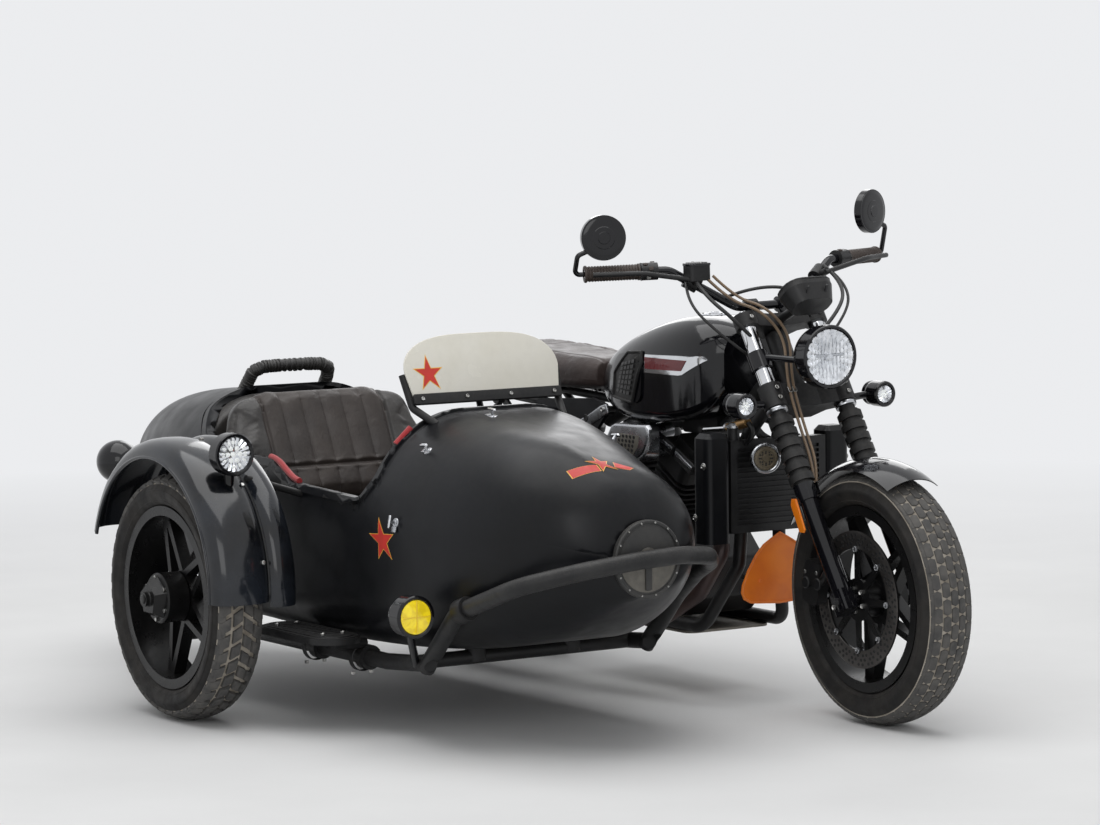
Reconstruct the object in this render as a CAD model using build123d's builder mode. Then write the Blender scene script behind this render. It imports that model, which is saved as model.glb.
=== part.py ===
"""Sidecar motorcycle in millimetres: +X forward, +Y left, +Z up, with the sidecar on the right.

Places are given by at(x, y, z): ahead of the rear axle, left of the motorcycle's centre plane,
and above the ground. car(x, y, z) counts y from the sidecar's own centre plane.
The steered pieces are drawn straight ahead and turned to their parked angle when they are written.
"""
import math
import os
from build123d import *

os.makedirs("parts", exist_ok=True)

# Stance
WHEELBASE = 1556
CAR_TRACK = 1261
CAR_LEAD = 503
CAR_OFFSET = -700
REAR_X = -606
BIKE_Y = 461
FRONT_TYRE_R = 297
REAR_TYRE_R = 295
CAR_TYRE_R = 294

# Tyres, rims and hubs
FRONT_TYRE_W = 130
REAR_TYRE_W = 146
CAR_TYRE_W = 130
RIM_SEAT_R = 203
RIM_FLANGE_R = 217
RIM_WALL = 9
RIM_FLANGE_T = 6
BEAD_INSET = 18
SEAT_GAP = 0.3
SKIN_GAP = 0.6
HUB_R = 44
HUB_W = 100
SPOKES = 5
SPOKE_DEPTH = 30
SPOKE_HUB_HALF = 40
SPOKE_RIM_HALF = 15
SPOKE_LEG = 15
AXLE_R = 10
AXLE_FIT = 0.1
DISC_T = 5
FRONT_DISC_R = 160
REAR_DISC_R = 130
CAR_DISC_R = 118
DISC_BAND = 42
DISC_PLANE = 61
BUTTONS = 8
BUTTON_R = 9

# Steering
RAKE = 31.5
FORK_OFFSET = 35
FORK_HALF = 98
STEER_AT_REST = -2.5
FORK_TUBE_R = 19.5
SLIDER_R = 22.5
GAITER_R = 30
YOKE_T = 34
YOKE_WALL = 9
YOKE_FACE = 40
LOWER_YOKE_W = 532
UPPER_YOKE_W = 735
GAITER_TOP_W = 478
GAITER_LOW_W = 300
RUNNING_GAP = 5

# Frame and sidecar tubes
FRAME_R = 16
RAIL_R = 19
CAR_RAIL_Z = 172
CAR_RAIL_HALF = 300
BUMPER_R = 20
HANDLEBAR_R = 11
HANDLEBAR_HALF = 422
GRAB_R = 15

# Sidecar body
WALL = 10
LIP = 5
LIP_WIDTH = 16
NOSE_X = 1618
NOSE_R = 86
NOSE_Z = 446
STAY_R = 9
PANE_T = 5

RIGHT = Vector(0, -1, 0)
FORWARD = Vector(1, 0, 0)
UP = Vector(0, 0, 1)


def at(x, y, z):
    """Return the point x ahead of the rear axle, y left of the motorcycle and z above the ground."""
    return Vector(REAR_X + x, BIKE_Y + y, z)


def car(x, y, z):
    """Return the point y left of the sidecar's centre plane."""
    return at(x, CAR_OFFSET + y, z)


def side_plane(origin):
    """Return the upright plane that faces right: local x is forward and local y is up."""
    return Plane(origin=origin, x_dir=FORWARD, z_dir=RIGHT)


def cross_plane(origin):
    """Return the upright plane that faces forward: local x is left and local y is up."""
    return Plane(origin=origin, x_dir=-RIGHT, z_dir=FORWARD)


def radial_plane(origin, angle=0):
    """Return the plane of a wheel's section at an angle above forward: x is the radius, y is right."""
    turn = math.radians(angle)
    return Plane(
        origin=origin,
        x_dir=(math.cos(turn), 0, math.sin(turn)),
        z_dir=(math.sin(turn), 0, -math.cos(turn)),
    )


RAKE_RAD = math.radians(RAKE)
STEM = Vector(-math.sin(RAKE_RAD), 0, math.cos(RAKE_RAD))
LEAD = Vector(math.cos(RAKE_RAD), 0, math.sin(RAKE_RAD))
FRONT_AXLE = at(WHEELBASE, 0, FRONT_TYRE_R)
REAR_AXLE = at(0, 0, REAR_TYRE_R)
CAR_AXLE = at(CAR_LEAD, -CAR_TRACK, CAR_TYRE_R)
FORK_ORIGIN = FRONT_AXLE - LEAD * FORK_OFFSET
STEERING_AXIS = Axis(FORK_ORIGIN, STEM)


def fork(lead, left, height):
    """Return a point by its distance ahead of the steering axis, to the left, and along the axis."""
    return FORK_ORIGIN + LEAD * lead + Vector(0, left, 0) + STEM * height


def fork_plane(lead, left, height):
    """Return the plane square to the steering axis: local x leads and local y is left."""
    return Plane(origin=fork(lead, left, height), x_dir=LEAD, z_dir=STEM)


def tube(points, radius, bend=40, mode=Mode.ADD):
    """Add a round bar along straight runs joined by bends to the part that is open."""
    with BuildLine() as route:
        if len(points) == 2:
            Line(*points)
        else:
            FilletPolyline(*points, radius=bend)
    with BuildSketch(Plane(origin=route.line @ 0, z_dir=route.line % 0)) as section:
        Circle(radius)
    sweep(section.sketch, path=route.line, mode=mode)


def rod(start, end, radius, mode=Mode.ADD):
    """Add or cut a straight round bar from start to end in the part that is open."""
    direction = Vector(*end) - Vector(*start)
    with BuildSketch(Plane(origin=start, z_dir=direction)) as section:
        Circle(radius)
    extrude(section.sketch, amount=direction.length, mode=mode)


def rounded_section(half_width, low, high, top_radius, low_radius):
    """Draw a closed section with two upper and two lower corner radii in the open sketch."""
    top_in = half_width - top_radius
    low_in = half_width - low_radius
    slant = math.sqrt(0.5)
    with BuildLine() as outline:
        Line((-low_in, low), (low_in, low))
        ThreePointArc(
            (low_in, low),
            (low_in + low_radius * slant, low + low_radius * (1 - slant)),
            (half_width, low + low_radius),
        )
        Line((half_width, low + low_radius), (half_width, high - top_radius))
        ThreePointArc(
            (half_width, high - top_radius),
            (top_in + top_radius * slant, high - top_radius * (1 - slant)),
            (top_in, high),
        )
        Line((top_in, high), (-top_in, high))
        ThreePointArc(
            (-top_in, high),
            (-top_in - top_radius * slant, high - top_radius * (1 - slant)),
            (-half_width, high - top_radius),
        )
        Line((-half_width, high - top_radius), (-half_width, low + low_radius))
        ThreePointArc(
            (-half_width, low + low_radius),
            (-low_in - low_radius * slant, low + low_radius * (1 - slant)),
            (-low_in, low),
        )
    make_face(outline.edges())


def hull(sections, y_offset, grow=0.0, end_trim=0.0):
    """Add a smooth body through rounded sections, each grown or shrunk by the same amount.

    Each section is (x, half width, low, high, upper radius, lower radius).
    """
    last = len(sections) - 1
    profiles = []
    for index, (x, half_width, low, high, top_radius, low_radius) in enumerate(sections):
        shift = end_trim if index == 0 else -end_trim if index == last else 0
        with BuildSketch(cross_plane(at(x + shift, y_offset, 0))) as profile:
            rounded_section(
                half_width + grow, low - grow, high + grow, top_radius + grow, low_radius + grow
            )
        profiles.append(profile.sketch)
    loft(profiles)


def lamp_bowl(centre, radius, front, rim, back):
    """Add a lamp facing forward: a straight rim and a domed back, by distances along its axis."""
    dome_at = (rim * rim + radius * radius - back * back) / (2 * (rim - back))
    dome_r = dome_at - back
    half_turn = (math.atan2(radius, rim - dome_at) + math.pi) / 2
    middle = (dome_at + dome_r * math.cos(half_turn), dome_r * math.sin(half_turn))
    with BuildSketch(radial_plane(centre)) as section:
        with BuildLine():
            Polyline((back, 0), (front, 0), (front, radius), (rim, radius))
            ThreePointArc((rim, radius), middle, (back, 0))
        make_face()
    revolve(section.sketch, axis=Axis(centre, FORWARD))


def write(piece, label, steered=False):
    """Label a finished piece and write its STEP file, turned to the parked steering angle if steered."""
    solid = piece.part.rotate(STEERING_AXIS, STEER_AT_REST) if steered else piece.part
    solid.label = label
    export_step(solid, f"parts/{label}.step")


# Wheels
def tyre(centre, radius, width):
    """Add a tyre: bead at the rim, a full sidewall and a rounded crown."""
    half = width / 2
    bead = half - BEAD_INSET
    wall_r = (RIM_FLANGE_R + radius) / 2 - 6
    shoulder_r = radius - 14
    shoulder = half - 12
    with BuildSketch(radial_plane(centre)) as section:
        with BuildLine():
            Line((RIM_SEAT_R + SEAT_GAP, -bead), (RIM_SEAT_R + SEAT_GAP, bead))
            Line((RIM_SEAT_R + SEAT_GAP, bead), (RIM_FLANGE_R + SEAT_GAP, bead))
            ThreePointArc((RIM_FLANGE_R + SEAT_GAP, bead), (wall_r, half), (shoulder_r, shoulder))
            ThreePointArc((shoulder_r, shoulder), (radius, 0), (shoulder_r, -shoulder))
            ThreePointArc((shoulder_r, -shoulder), (wall_r, -half), (RIM_FLANGE_R + SEAT_GAP, -bead))
            Line((RIM_FLANGE_R + SEAT_GAP, -bead), (RIM_SEAT_R + SEAT_GAP, -bead))
        make_face()
    revolve(section.sketch, axis=Axis(centre, RIGHT))


def cast_wheel(centre, tyre_width, disc_radius, disc_side, phase):
    """Add a cast wheel: rim, five split spokes, hub, and a floating brake disc on one side."""
    bead = tyre_width / 2 - BEAD_INSET
    rim_in = RIM_SEAT_R - RIM_WALL
    flange = bead + SEAT_GAP + RIM_FLANGE_T
    with BuildSketch(radial_plane(centre)) as rim:
        with BuildLine():
            Polyline(
                (rim_in, -flange),
                (rim_in, flange),
                (RIM_FLANGE_R, flange),
                (RIM_FLANGE_R, bead + SEAT_GAP),
                (RIM_SEAT_R, bead + SEAT_GAP),
                (RIM_SEAT_R, -bead - SEAT_GAP),
                (RIM_FLANGE_R, -bead - SEAT_GAP),
                (RIM_FLANGE_R, -flange),
                close=True,
            )
        make_face()
    revolve(rim.sketch, axis=Axis(centre, RIGHT))
    mid = side_plane(centre)
    with BuildSketch(mid) as hub:
        Circle(HUB_R)
    extrude(hub.sketch, amount=HUB_W / 2, both=True)
    spoke_in = HUB_R - 8
    window_in = HUB_R + 14
    window_out = rim_in - 26
    taper = (SPOKE_HUB_HALF - SPOKE_RIM_HALF) / (rim_in + 2 - spoke_in)
    window_half = SPOKE_HUB_HALF - taper * (window_in - spoke_in) - SPOKE_LEG
    with BuildSketch(mid) as spokes:
        with PolarLocations(0, SPOKES, start_angle=phase):
            Polygon(
                (spoke_in, -SPOKE_HUB_HALF),
                (rim_in + 2, -SPOKE_RIM_HALF),
                (rim_in + 2, SPOKE_RIM_HALF),
                (spoke_in, SPOKE_HUB_HALF),
                align=None,
            )
        Circle(HUB_R + 10)
        with PolarLocations(0, SPOKES, start_angle=phase):
            Polygon(
                (window_in, -window_half),
                (window_out, -2),
                (window_out, 2),
                (window_in, window_half),
                align=None,
                mode=Mode.SUBTRACT,
            )
    extrude(spokes.sketch, amount=SPOKE_DEPTH / 2, both=True)
    disc_centre = centre + RIGHT * (disc_side * DISC_PLANE)
    carrier_r = disc_radius - DISC_BAND + 6
    with BuildSketch(side_plane(disc_centre)) as disc:
        Circle(disc_radius)
        Circle(disc_radius - DISC_BAND, mode=Mode.SUBTRACT)
    extrude(disc.sketch, amount=DISC_T / 2, both=True)
    with BuildSketch(side_plane(disc_centre)) as carrier:
        Circle(HUB_R + 6)
        with PolarLocations(0, BUTTONS, start_angle=phase):
            Polygon((0, -11), (carrier_r, -7), (carrier_r, 7), (0, 11), align=None)
    extrude(carrier.sketch, amount=DISC_T / 2, both=True)
    with BuildSketch(side_plane(disc_centre)) as buttons:
        with PolarLocations(disc_radius - DISC_BAND, BUTTONS, start_angle=phase):
            Circle(BUTTON_R)
    extrude(buttons.sketch, amount=DISC_T / 2 + 1.5, both=True)
    with BuildSketch(side_plane(centre + RIGHT * (disc_side * HUB_W / 2))) as spacer:
        Circle(HUB_R)
    extrude(spacer.sketch, amount=disc_side * (DISC_PLANE - HUB_W / 2))


def axle_bore(centre, right, left):
    """Cut the running bore for the axle, from a distance right of the wheel's middle to one left."""
    rod(centre + RIGHT * right, centre - RIGHT * left, AXLE_R + AXLE_FIT, mode=Mode.SUBTRACT)


with BuildPart() as front_tyre:
    tyre(FRONT_AXLE, FRONT_TYRE_R, FRONT_TYRE_W)
write(front_tyre, "front_tyre", steered=True)

with BuildPart() as rear_tyre:
    tyre(REAR_AXLE, REAR_TYRE_R, REAR_TYRE_W)
write(rear_tyre, "rear_tyre")

with BuildPart() as sidecar_tyre:
    tyre(CAR_AXLE, CAR_TYRE_R, CAR_TYRE_W)
write(sidecar_tyre, "sidecar_tyre")

with BuildPart() as front_wheel:
    cast_wheel(FRONT_AXLE, FRONT_TYRE_W, FRONT_DISC_R, 1, 45)
    axle_bore(FRONT_AXLE, 90, 90)
write(front_wheel, "front_wheel", steered=True)

PULLEY_R = 105
PULLEY_W = 22
PULLEY_PLANE = 88
with BuildPart() as rear_wheel:
    cast_wheel(REAR_AXLE, REAR_TYRE_W, REAR_DISC_R, 1, 20)
    with BuildSketch(side_plane(REAR_AXLE - RIGHT * PULLEY_PLANE)):
        Circle(PULLEY_R)
        Circle(PULLEY_R - 14, mode=Mode.SUBTRACT)
    extrude(amount=PULLEY_W / 2, both=True)
    with BuildSketch(side_plane(REAR_AXLE - RIGHT * PULLEY_PLANE)):
        Circle(HUB_R)
        with PolarLocations(0, SPOKES):
            Polygon((0, -13), (PULLEY_R - 10, -9), (PULLEY_R - 10, 9), (0, 13), align=None)
    extrude(amount=6, both=True)
    with BuildSketch(side_plane(REAR_AXLE - RIGHT * (HUB_W / 2))):
        Circle(HUB_R - 8)
    extrude(amount=-(PULLEY_PLANE - HUB_W / 2))
    axle_bore(REAR_AXLE, 120, 120)
write(rear_wheel, "rear_wheel")

CAP_R = 60
CAP_REACH = 100
CAP_NUT_R = 17
with BuildPart() as sidecar_wheel:
    cast_wheel(CAR_AXLE, CAR_TYRE_W, CAR_DISC_R, -1, 110)
    with BuildSketch(side_plane(CAR_AXLE + RIGHT * 20)):
        Circle(CAP_R)
    extrude(amount=CAP_REACH - 44)
    chamfer(sidecar_wheel.faces().sort_by(Axis.Y)[0].edges(), 4)
    with BuildSketch(side_plane(CAR_AXLE + RIGHT * (CAP_REACH - 26))):
        RegularPolygon(CAP_R - 4, 5, rotation=18)
    extrude(amount=26, taper=28)
    with BuildSketch(side_plane(CAR_AXLE + RIGHT * (CAP_REACH - 2))):
        Circle(CAP_NUT_R)
    extrude(amount=14)
    axle_bore(CAR_AXLE, CAP_REACH - 50, 90)
write(sidecar_wheel, "sidecar_wheel")

# Steered pieces
LEG_TOP_W = 752
with BuildPart() as fork_yokes:
    for left in (-FORK_HALF, FORK_HALF):
        with BuildSketch(fork_plane(FORK_OFFSET, left, GAITER_LOW_W + 30)):
            Circle(FORK_TUBE_R)
        extrude(amount=LEG_TOP_W - GAITER_LOW_W - 30)
    for height, thick in ((LOWER_YOKE_W, 60), (UPPER_YOKE_W, YOKE_T)):
        with BuildSketch(fork_plane(0, 0, height - thick / 2)):
            with BuildLine():
                Polyline(
                    (-26, -34), (-26, 34), (FORK_OFFSET - 30, 60), (FORK_OFFSET - 12, FORK_HALF + 20),
                    (FORK_OFFSET + 24, FORK_HALF + 12), (YOKE_FACE, 30), (YOKE_FACE, -30),
                    (FORK_OFFSET + 24, -FORK_HALF - 12), (FORK_OFFSET - 12, -FORK_HALF - 20),
                    (FORK_OFFSET - 30, -60), close=True,
                )
            make_face()
            with Locations((FORK_OFFSET, -FORK_HALF), (FORK_OFFSET, FORK_HALF)):
                Circle(FORK_TUBE_R + YOKE_WALL)
        extrude(amount=thick)
    with BuildSketch(fork_plane(0, 0, LOWER_YOKE_W)):
        Circle(13)
    extrude(amount=UPPER_YOKE_W - LOWER_YOKE_W + 30)
write(fork_yokes, "fork_yokes", steered=True)

GAITER_RIBS = 6
with BuildPart() as fork_gaiters:
    pitch = (GAITER_TOP_W - GAITER_LOW_W) / GAITER_RIBS
    for left in (-FORK_HALF, FORK_HALF):
        base = fork(FORK_OFFSET, left, GAITER_LOW_W)
        for rib in range(GAITER_RIBS):
            with BuildSketch(fork_plane(FORK_OFFSET, left, GAITER_LOW_W + rib * pitch)):
                Circle(GAITER_R - 6)
                Circle(SLIDER_R + SEAT_GAP, mode=Mode.SUBTRACT)
            extrude(amount=pitch)
            with BuildSketch(fork_plane(FORK_OFFSET, left, GAITER_LOW_W + (rib + 0.2) * pitch)):
                Circle(GAITER_R)
                Circle(SLIDER_R + SEAT_GAP, mode=Mode.SUBTRACT)
            extrude(amount=0.6 * pitch)
write(fork_gaiters, "fork_gaiters", steered=True)

SLIDER_TOP_W = 330
SLIDER_LOW_W = -22
COLLAR_R = 26
with BuildPart() as fork_sliders:
    for left in (-FORK_HALF, FORK_HALF):
        with BuildSketch(fork_plane(FORK_OFFSET, left, SLIDER_LOW_W)):
            Circle(SLIDER_R)
        extrude(amount=SLIDER_TOP_W - SLIDER_LOW_W)
        with BuildSketch(fork_plane(FORK_OFFSET, left, GAITER_LOW_W - 42)):
            Circle(COLLAR_R)
        extrude(amount=42 - SEAT_GAP)
        with BuildSketch(fork_plane(FORK_OFFSET - 4, left, -26)):
            RectangleRounded(52, 40, 8)
        extrude(amount=52)
    with BuildSketch(side_plane(FRONT_AXLE)):
        Circle(AXLE_R)
    extrude(amount=FORK_HALF + 24, both=True)
    for side in (-1, 1):
        with BuildSketch(side_plane(FRONT_AXLE + RIGHT * (side * (DISC_PLANE + DISC_T)))):
            Circle(AXLE_R + 5)
        extrude(amount=side * (FORK_HALF - DISC_PLANE - DISC_T - 5))
write(fork_sliders, "fork_sliders", steered=True)

# The caliper straddles the front disc behind the right leg
CALIPER_ANGLE = 168
CALIPER_MID_R = 138
with BuildPart() as brake_caliper:
    turn = math.radians(CALIPER_ANGLE)
    spot = FRONT_AXLE + FORWARD * (CALIPER_MID_R * math.cos(turn)) + UP * (CALIPER_MID_R * math.sin(turn))
    block = Plane(
        origin=spot + RIGHT * DISC_PLANE,
        x_dir=FORWARD * math.cos(turn) + UP * math.sin(turn),
        z_dir=RIGHT,
    )
    with BuildSketch(block.offset(-26)):
        with Locations((4, 0)):
            RectangleRounded(64, 104, 16)
    extrude(amount=62)
    with BuildSketch(side_plane(FRONT_AXLE + RIGHT * DISC_PLANE)):
        Circle(FRONT_DISC_R + RUNNING_GAP)
    extrude(amount=DISC_T / 2 + RUNNING_GAP, both=True, mode=Mode.SUBTRACT)
    rod(spot + RIGHT * (DISC_PLANE + 24) + FORWARD * 20, fork(FORK_OFFSET - SLIDER_R - 0.3, -FORK_HALF, 90), 9)
    with BuildSketch(fork_plane(FORK_OFFSET, -FORK_HALF, 0)):
        Circle(SLIDER_R + SEAT_GAP)
    extrude(amount=200, mode=Mode.SUBTRACT)
write(brake_caliper, "brake_caliper", steered=True)

# Points of the handlebar's right half, x, y, z: its end, its upper bend and its lower bend
BAR_END = (975, HANDLEBAR_HALF, 1050)
BAR_BEND = (1048, 232, 1051)
BAR_LOW = (1114, 84, 957)
RISER_R = 15


def mirrored(point, side):
    """Return a handlebar point on the left (1) or on the right (-1)."""
    return at(point[0], side * point[1], point[2])


with BuildPart() as handlebar:
    bar_x, bar_z = BAR_LOW[0], BAR_LOW[2]
    right = [mirrored(point, -1) for point in (BAR_END, BAR_BEND, BAR_LOW)]
    left_half = [mirrored(point, 1) for point in (BAR_LOW, BAR_BEND, BAR_END)]
    tube(right + left_half, HANDLEBAR_R, 45)
    yoke_top = fork(0, 0, UPPER_YOKE_W + YOKE_T / 2 + SEAT_GAP)
    for left in (-45, 45):
        rod(yoke_top + Vector(0, left, 0), at(bar_x, left, bar_z), RISER_R)
        with BuildSketch(side_plane(at(bar_x, left, bar_z))):
            Circle(HANDLEBAR_R + 8)
        extrude(amount=13, both=True)
    with BuildSketch(fork_plane(0, 0, 0)):
        Rectangle(200, 260)
    extrude(amount=UPPER_YOKE_W + YOKE_T / 2 + SEAT_GAP, mode=Mode.SUBTRACT)
write(handlebar, "handlebar", steered=True)

GRIP_R = 17
GRIP_L = 130
PERCH_R = 19
PERCH_L = 34
with BuildPart() as hand_controls:
    for side in (-1, 1):
        end = mirrored(BAR_END, side)
        bend_point = mirrored(BAR_BEND, side)
        low_point = mirrored(BAR_LOW, side)
        along = (bend_point - end).normalized()
        down = (low_point - bend_point).normalized()
        grip = Plane(origin=end, z_dir=along)
        for start, length, radius in ((0, GRIP_L, GRIP_R), (GRIP_L + 6, 40, 21)):
            with BuildSketch(grip.offset(start)):
                Circle(radius)
            extrude(amount=length)
        perch = bend_point + down * 62
        rod(perch - down * PERCH_L / 2, perch + down * PERCH_L / 2, PERCH_R)
        pivot = perch + FORWARD * 38 + UP * 8
        rod(perch + FORWARD * 12, pivot, 9)
        tube([pivot + down * 6, end + FORWARD * 66 + along * 104, end + FORWARD * 44 - along * 2], 6, 90)
        if side == -1:
            with BuildSketch(Plane(origin=perch + FORWARD * 26 + UP * 6, x_dir=FORWARD, z_dir=UP)):
                RectangleRounded(42, 56, 8)
            extrude(amount=36)
        tube([end - along, bend_point, low_point], HANDLEBAR_R + SEAT_GAP, 45, mode=Mode.SUBTRACT)
write(hand_controls, "hand_controls", steered=True)

MIRROR_R = 53
MIRROR_T = 20
MIRROR_TURN = 20
with BuildPart() as mirrors:
    for side, mirror_z in ((-1, 1136), (1, 1160)):
        centre = at(1006, side * 386, mirror_z)
        bar_end = mirrored(BAR_END, side)
        outward = (bar_end - mirrored(BAR_BEND, side)).normalized()
        turn = math.radians(side * MIRROR_TURN)
        facing = Vector(math.cos(turn), math.sin(turn), 0)
        tube(
            [
                bar_end + outward * SEAT_GAP, bar_end + outward * 24,
                at(986, side * 446, mirror_z - 40), centre - UP * 24 + outward * 22,
            ],
            6,
            12,
        )
        with BuildSketch(Plane(origin=centre - facing * (MIRROR_T / 2), z_dir=facing)):
            Circle(MIRROR_R)
        extrude(amount=MIRROR_T)
write(mirrors, "mirrors", steered=True)

HEADLAMP_R = 74
HEADLAMP_X = 1357
HEADLAMP_Z = 846
LAMP_R = 31
LAMP_HALF = 198
ARM_W = 606
with BuildPart() as headlamps:
    lamp_bowl(at(HEADLAMP_X, 0, HEADLAMP_Z), HEADLAMP_R, 16, -12, -72)
    for side in (-1, 1):
        centre = fork(46, side * LAMP_HALF, 513)
        lamp_bowl(centre, LAMP_R, 14, -12, -44)
        rod(centre - FORWARD * 20, fork(30, side * (FORK_HALF + FORK_TUBE_R + 9.5), 518), 9)
        rod(
            fork(FORK_OFFSET, side * FORK_HALF, LOWER_YOKE_W - 60),
            fork(FORK_OFFSET, side * FORK_HALF, LOWER_YOKE_W + 60),
            FORK_TUBE_R + YOKE_WALL + SEAT_GAP,
            mode=Mode.SUBTRACT,
        )
        with BuildSketch(fork_plane(FORK_OFFSET, side * FORK_HALF, ARM_W)):
            Circle(FORK_TUBE_R + 7)
            Circle(FORK_TUBE_R + SEAT_GAP, mode=Mode.SUBTRACT)
        extrude(amount=44)
        rod(fork(FORK_OFFSET + FORK_TUBE_R + 4, side * (FORK_HALF - 8), ARM_W + 22),
            at(HEADLAMP_X - 31, side * 60, HEADLAMP_Z - 6), 8)
write(headlamps, "headlamps", steered=True)

POD_X = 1285
POD_Z = 993
with BuildPart() as gauge_pod:
    pod = Plane(origin=at(POD_X, 0, POD_Z), x_dir=-RIGHT, z_dir=(-0.6, 0, 0.8))
    with BuildSketch(pod.offset(-40)):
        RectangleRounded(104, 70, 30)
    with BuildSketch(pod):
        RectangleRounded(130, 90, 37)
    loft()
    with BuildSketch(pod):
        RectangleRounded(130, 90, 37)
    extrude(amount=12)
    rod(at(POD_X - 4, 0, POD_Z - 24), fork(YOKE_FACE, 0, UPPER_YOKE_W), 11)
    with BuildSketch(fork_plane(0, 0, UPPER_YOKE_W - 60)):
        Rectangle(2 * (YOKE_FACE + SEAT_GAP), 120)
    extrude(amount=120, mode=Mode.SUBTRACT)
write(gauge_pod, "gauge_pod", steered=True)

FENDER_T = 3
FRONT_FENDER_R = 326
FRONT_FENDER_START = 62
FRONT_FENDER_ARC = 88
FENDER_LUG_W = 278
with BuildPart() as front_fender:
    half = FRONT_TYRE_W / 2 + 6
    with BuildSketch(radial_plane(FRONT_AXLE, FRONT_FENDER_START)):
        with BuildLine():
            ThreePointArc((FRONT_FENDER_R - 26, half), (FRONT_FENDER_R, 0), (FRONT_FENDER_R - 26, -half))
            Line((FRONT_FENDER_R - 26, -half), (FRONT_FENDER_R - 26, -half + FENDER_T))
            ThreePointArc(
                (FRONT_FENDER_R - 26, -half + FENDER_T),
                (FRONT_FENDER_R - FENDER_T, 0),
                (FRONT_FENDER_R - 26, half - FENDER_T),
            )
            Line((FRONT_FENDER_R - 26, half - FENDER_T), (FRONT_FENDER_R - 26, half))
        make_face()
    revolve(axis=Axis(FRONT_AXLE, RIGHT), revolution_arc=FRONT_FENDER_ARC)
    for side in (-1, 1):
        with BuildSketch(fork_plane(FORK_OFFSET, side * (half - 1.5), FENDER_LUG_W - 6)):
            Rectangle(26, 3)
        extrude(amount=30)
        rod(
            fork(FORK_OFFSET, side * (half - 3), FENDER_LUG_W),
            fork(FORK_OFFSET, side * (FORK_HALF - SLIDER_R / 2), FENDER_LUG_W),
            9,
        )
        rod(
            fork(FORK_OFFSET, side * FORK_HALF, FENDER_LUG_W - 40),
            fork(FORK_OFFSET, side * FORK_HALF, GAITER_LOW_W),
            COLLAR_R + SEAT_GAP,
            Mode.SUBTRACT,
        )
write(front_fender, "front_fender", steered=True)

# Motorcycle frame and engine
CRADLE_Z = 176
CRADLE_HALF = 118
SPINE_Z = 690
SPINE_R = 24
TUNNEL_HALF = 32
EYE_HALF = 9.5
SHOCK_Y = 158
ARM_Y = 128
ARM_R = 20
PIVOT = (405, 318)
HEAD_LOW_W = 566
HEAD_HIGH_W = UPPER_YOKE_W - YOKE_T / 2 - 4
PEG_Z = 300
SUB_R = 12


def sub_tube(side, radius, mode=Mode.ADD):
    """Add or cut one of the two seat rails."""
    tube([at(480, side * 16, 662), at(380, side * 96, 672), at(-130, side * 96, 700)], radius, 60, mode)


def down_tube(side, radius, mode=Mode.ADD):
    """Add or cut one of the two long tubes from the steering head round under the engine to the seat."""
    pivot_x, pivot_z = PIVOT
    tube(
        [
            fork(-18, side * 16, HEAD_LOW_W + 22), at(1092, side * 46, 640), at(1078, side * 60, 330),
            at(1010, side * CRADLE_HALF, CRADLE_Z), at(440, side * CRADLE_HALF, CRADLE_Z),
            at(pivot_x, side * CRADLE_HALF, pivot_z), at(440, side * 96, 655),
        ],
        radius,
        50,
        mode,
    )


with BuildPart() as main_frame:
    pivot_x, pivot_z = PIVOT
    with BuildSketch(fork_plane(0, 0, HEAD_LOW_W)):
        Circle(27)
        Circle(13 + AXLE_FIT, mode=Mode.SUBTRACT)
    extrude(amount=HEAD_HIGH_W - HEAD_LOW_W)
    head_back = fork(-22, 0, (HEAD_LOW_W + HEAD_HIGH_W) / 2)
    tube([head_back, at(1040, 0, SPINE_Z + 10), at(560, 0, SPINE_Z), at(430, 0, 640)], SPINE_R, 60)
    for side in (-1, 1):
        down_tube(side, FRAME_R)
        sub_tube(side, SUB_R)
        rod(at(150, side * 96, 686), at(150, side * (SHOCK_Y - EYE_HALF - SEAT_GAP), 686), 8)
        tube([at(420, side * 112, 420), at(60, side * 98, 690)], 10)
        tube([at(470, side * 112, CRADLE_Z + 10), at(520, side * 170, PEG_Z), at(520, side * 262, PEG_Z)], 11, 24)
    rod(at(pivot_x, -CRADLE_HALF, pivot_z), at(pivot_x, CRADLE_HALF, pivot_z), 15)
    rod(at(620, -CRADLE_HALF, CRADLE_Z), at(620, CRADLE_HALF, CRADLE_Z), 12)
    rod(at(60, -96, 691), at(60, 96, 691), 10)
    for x in (600, 960):
        rod(at(x, -TUNNEL_HALF + SEAT_GAP, SPINE_Z), at(x, TUNNEL_HALF - SEAT_GAP, SPINE_Z), 10)
write(main_frame, "main_frame")

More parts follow.
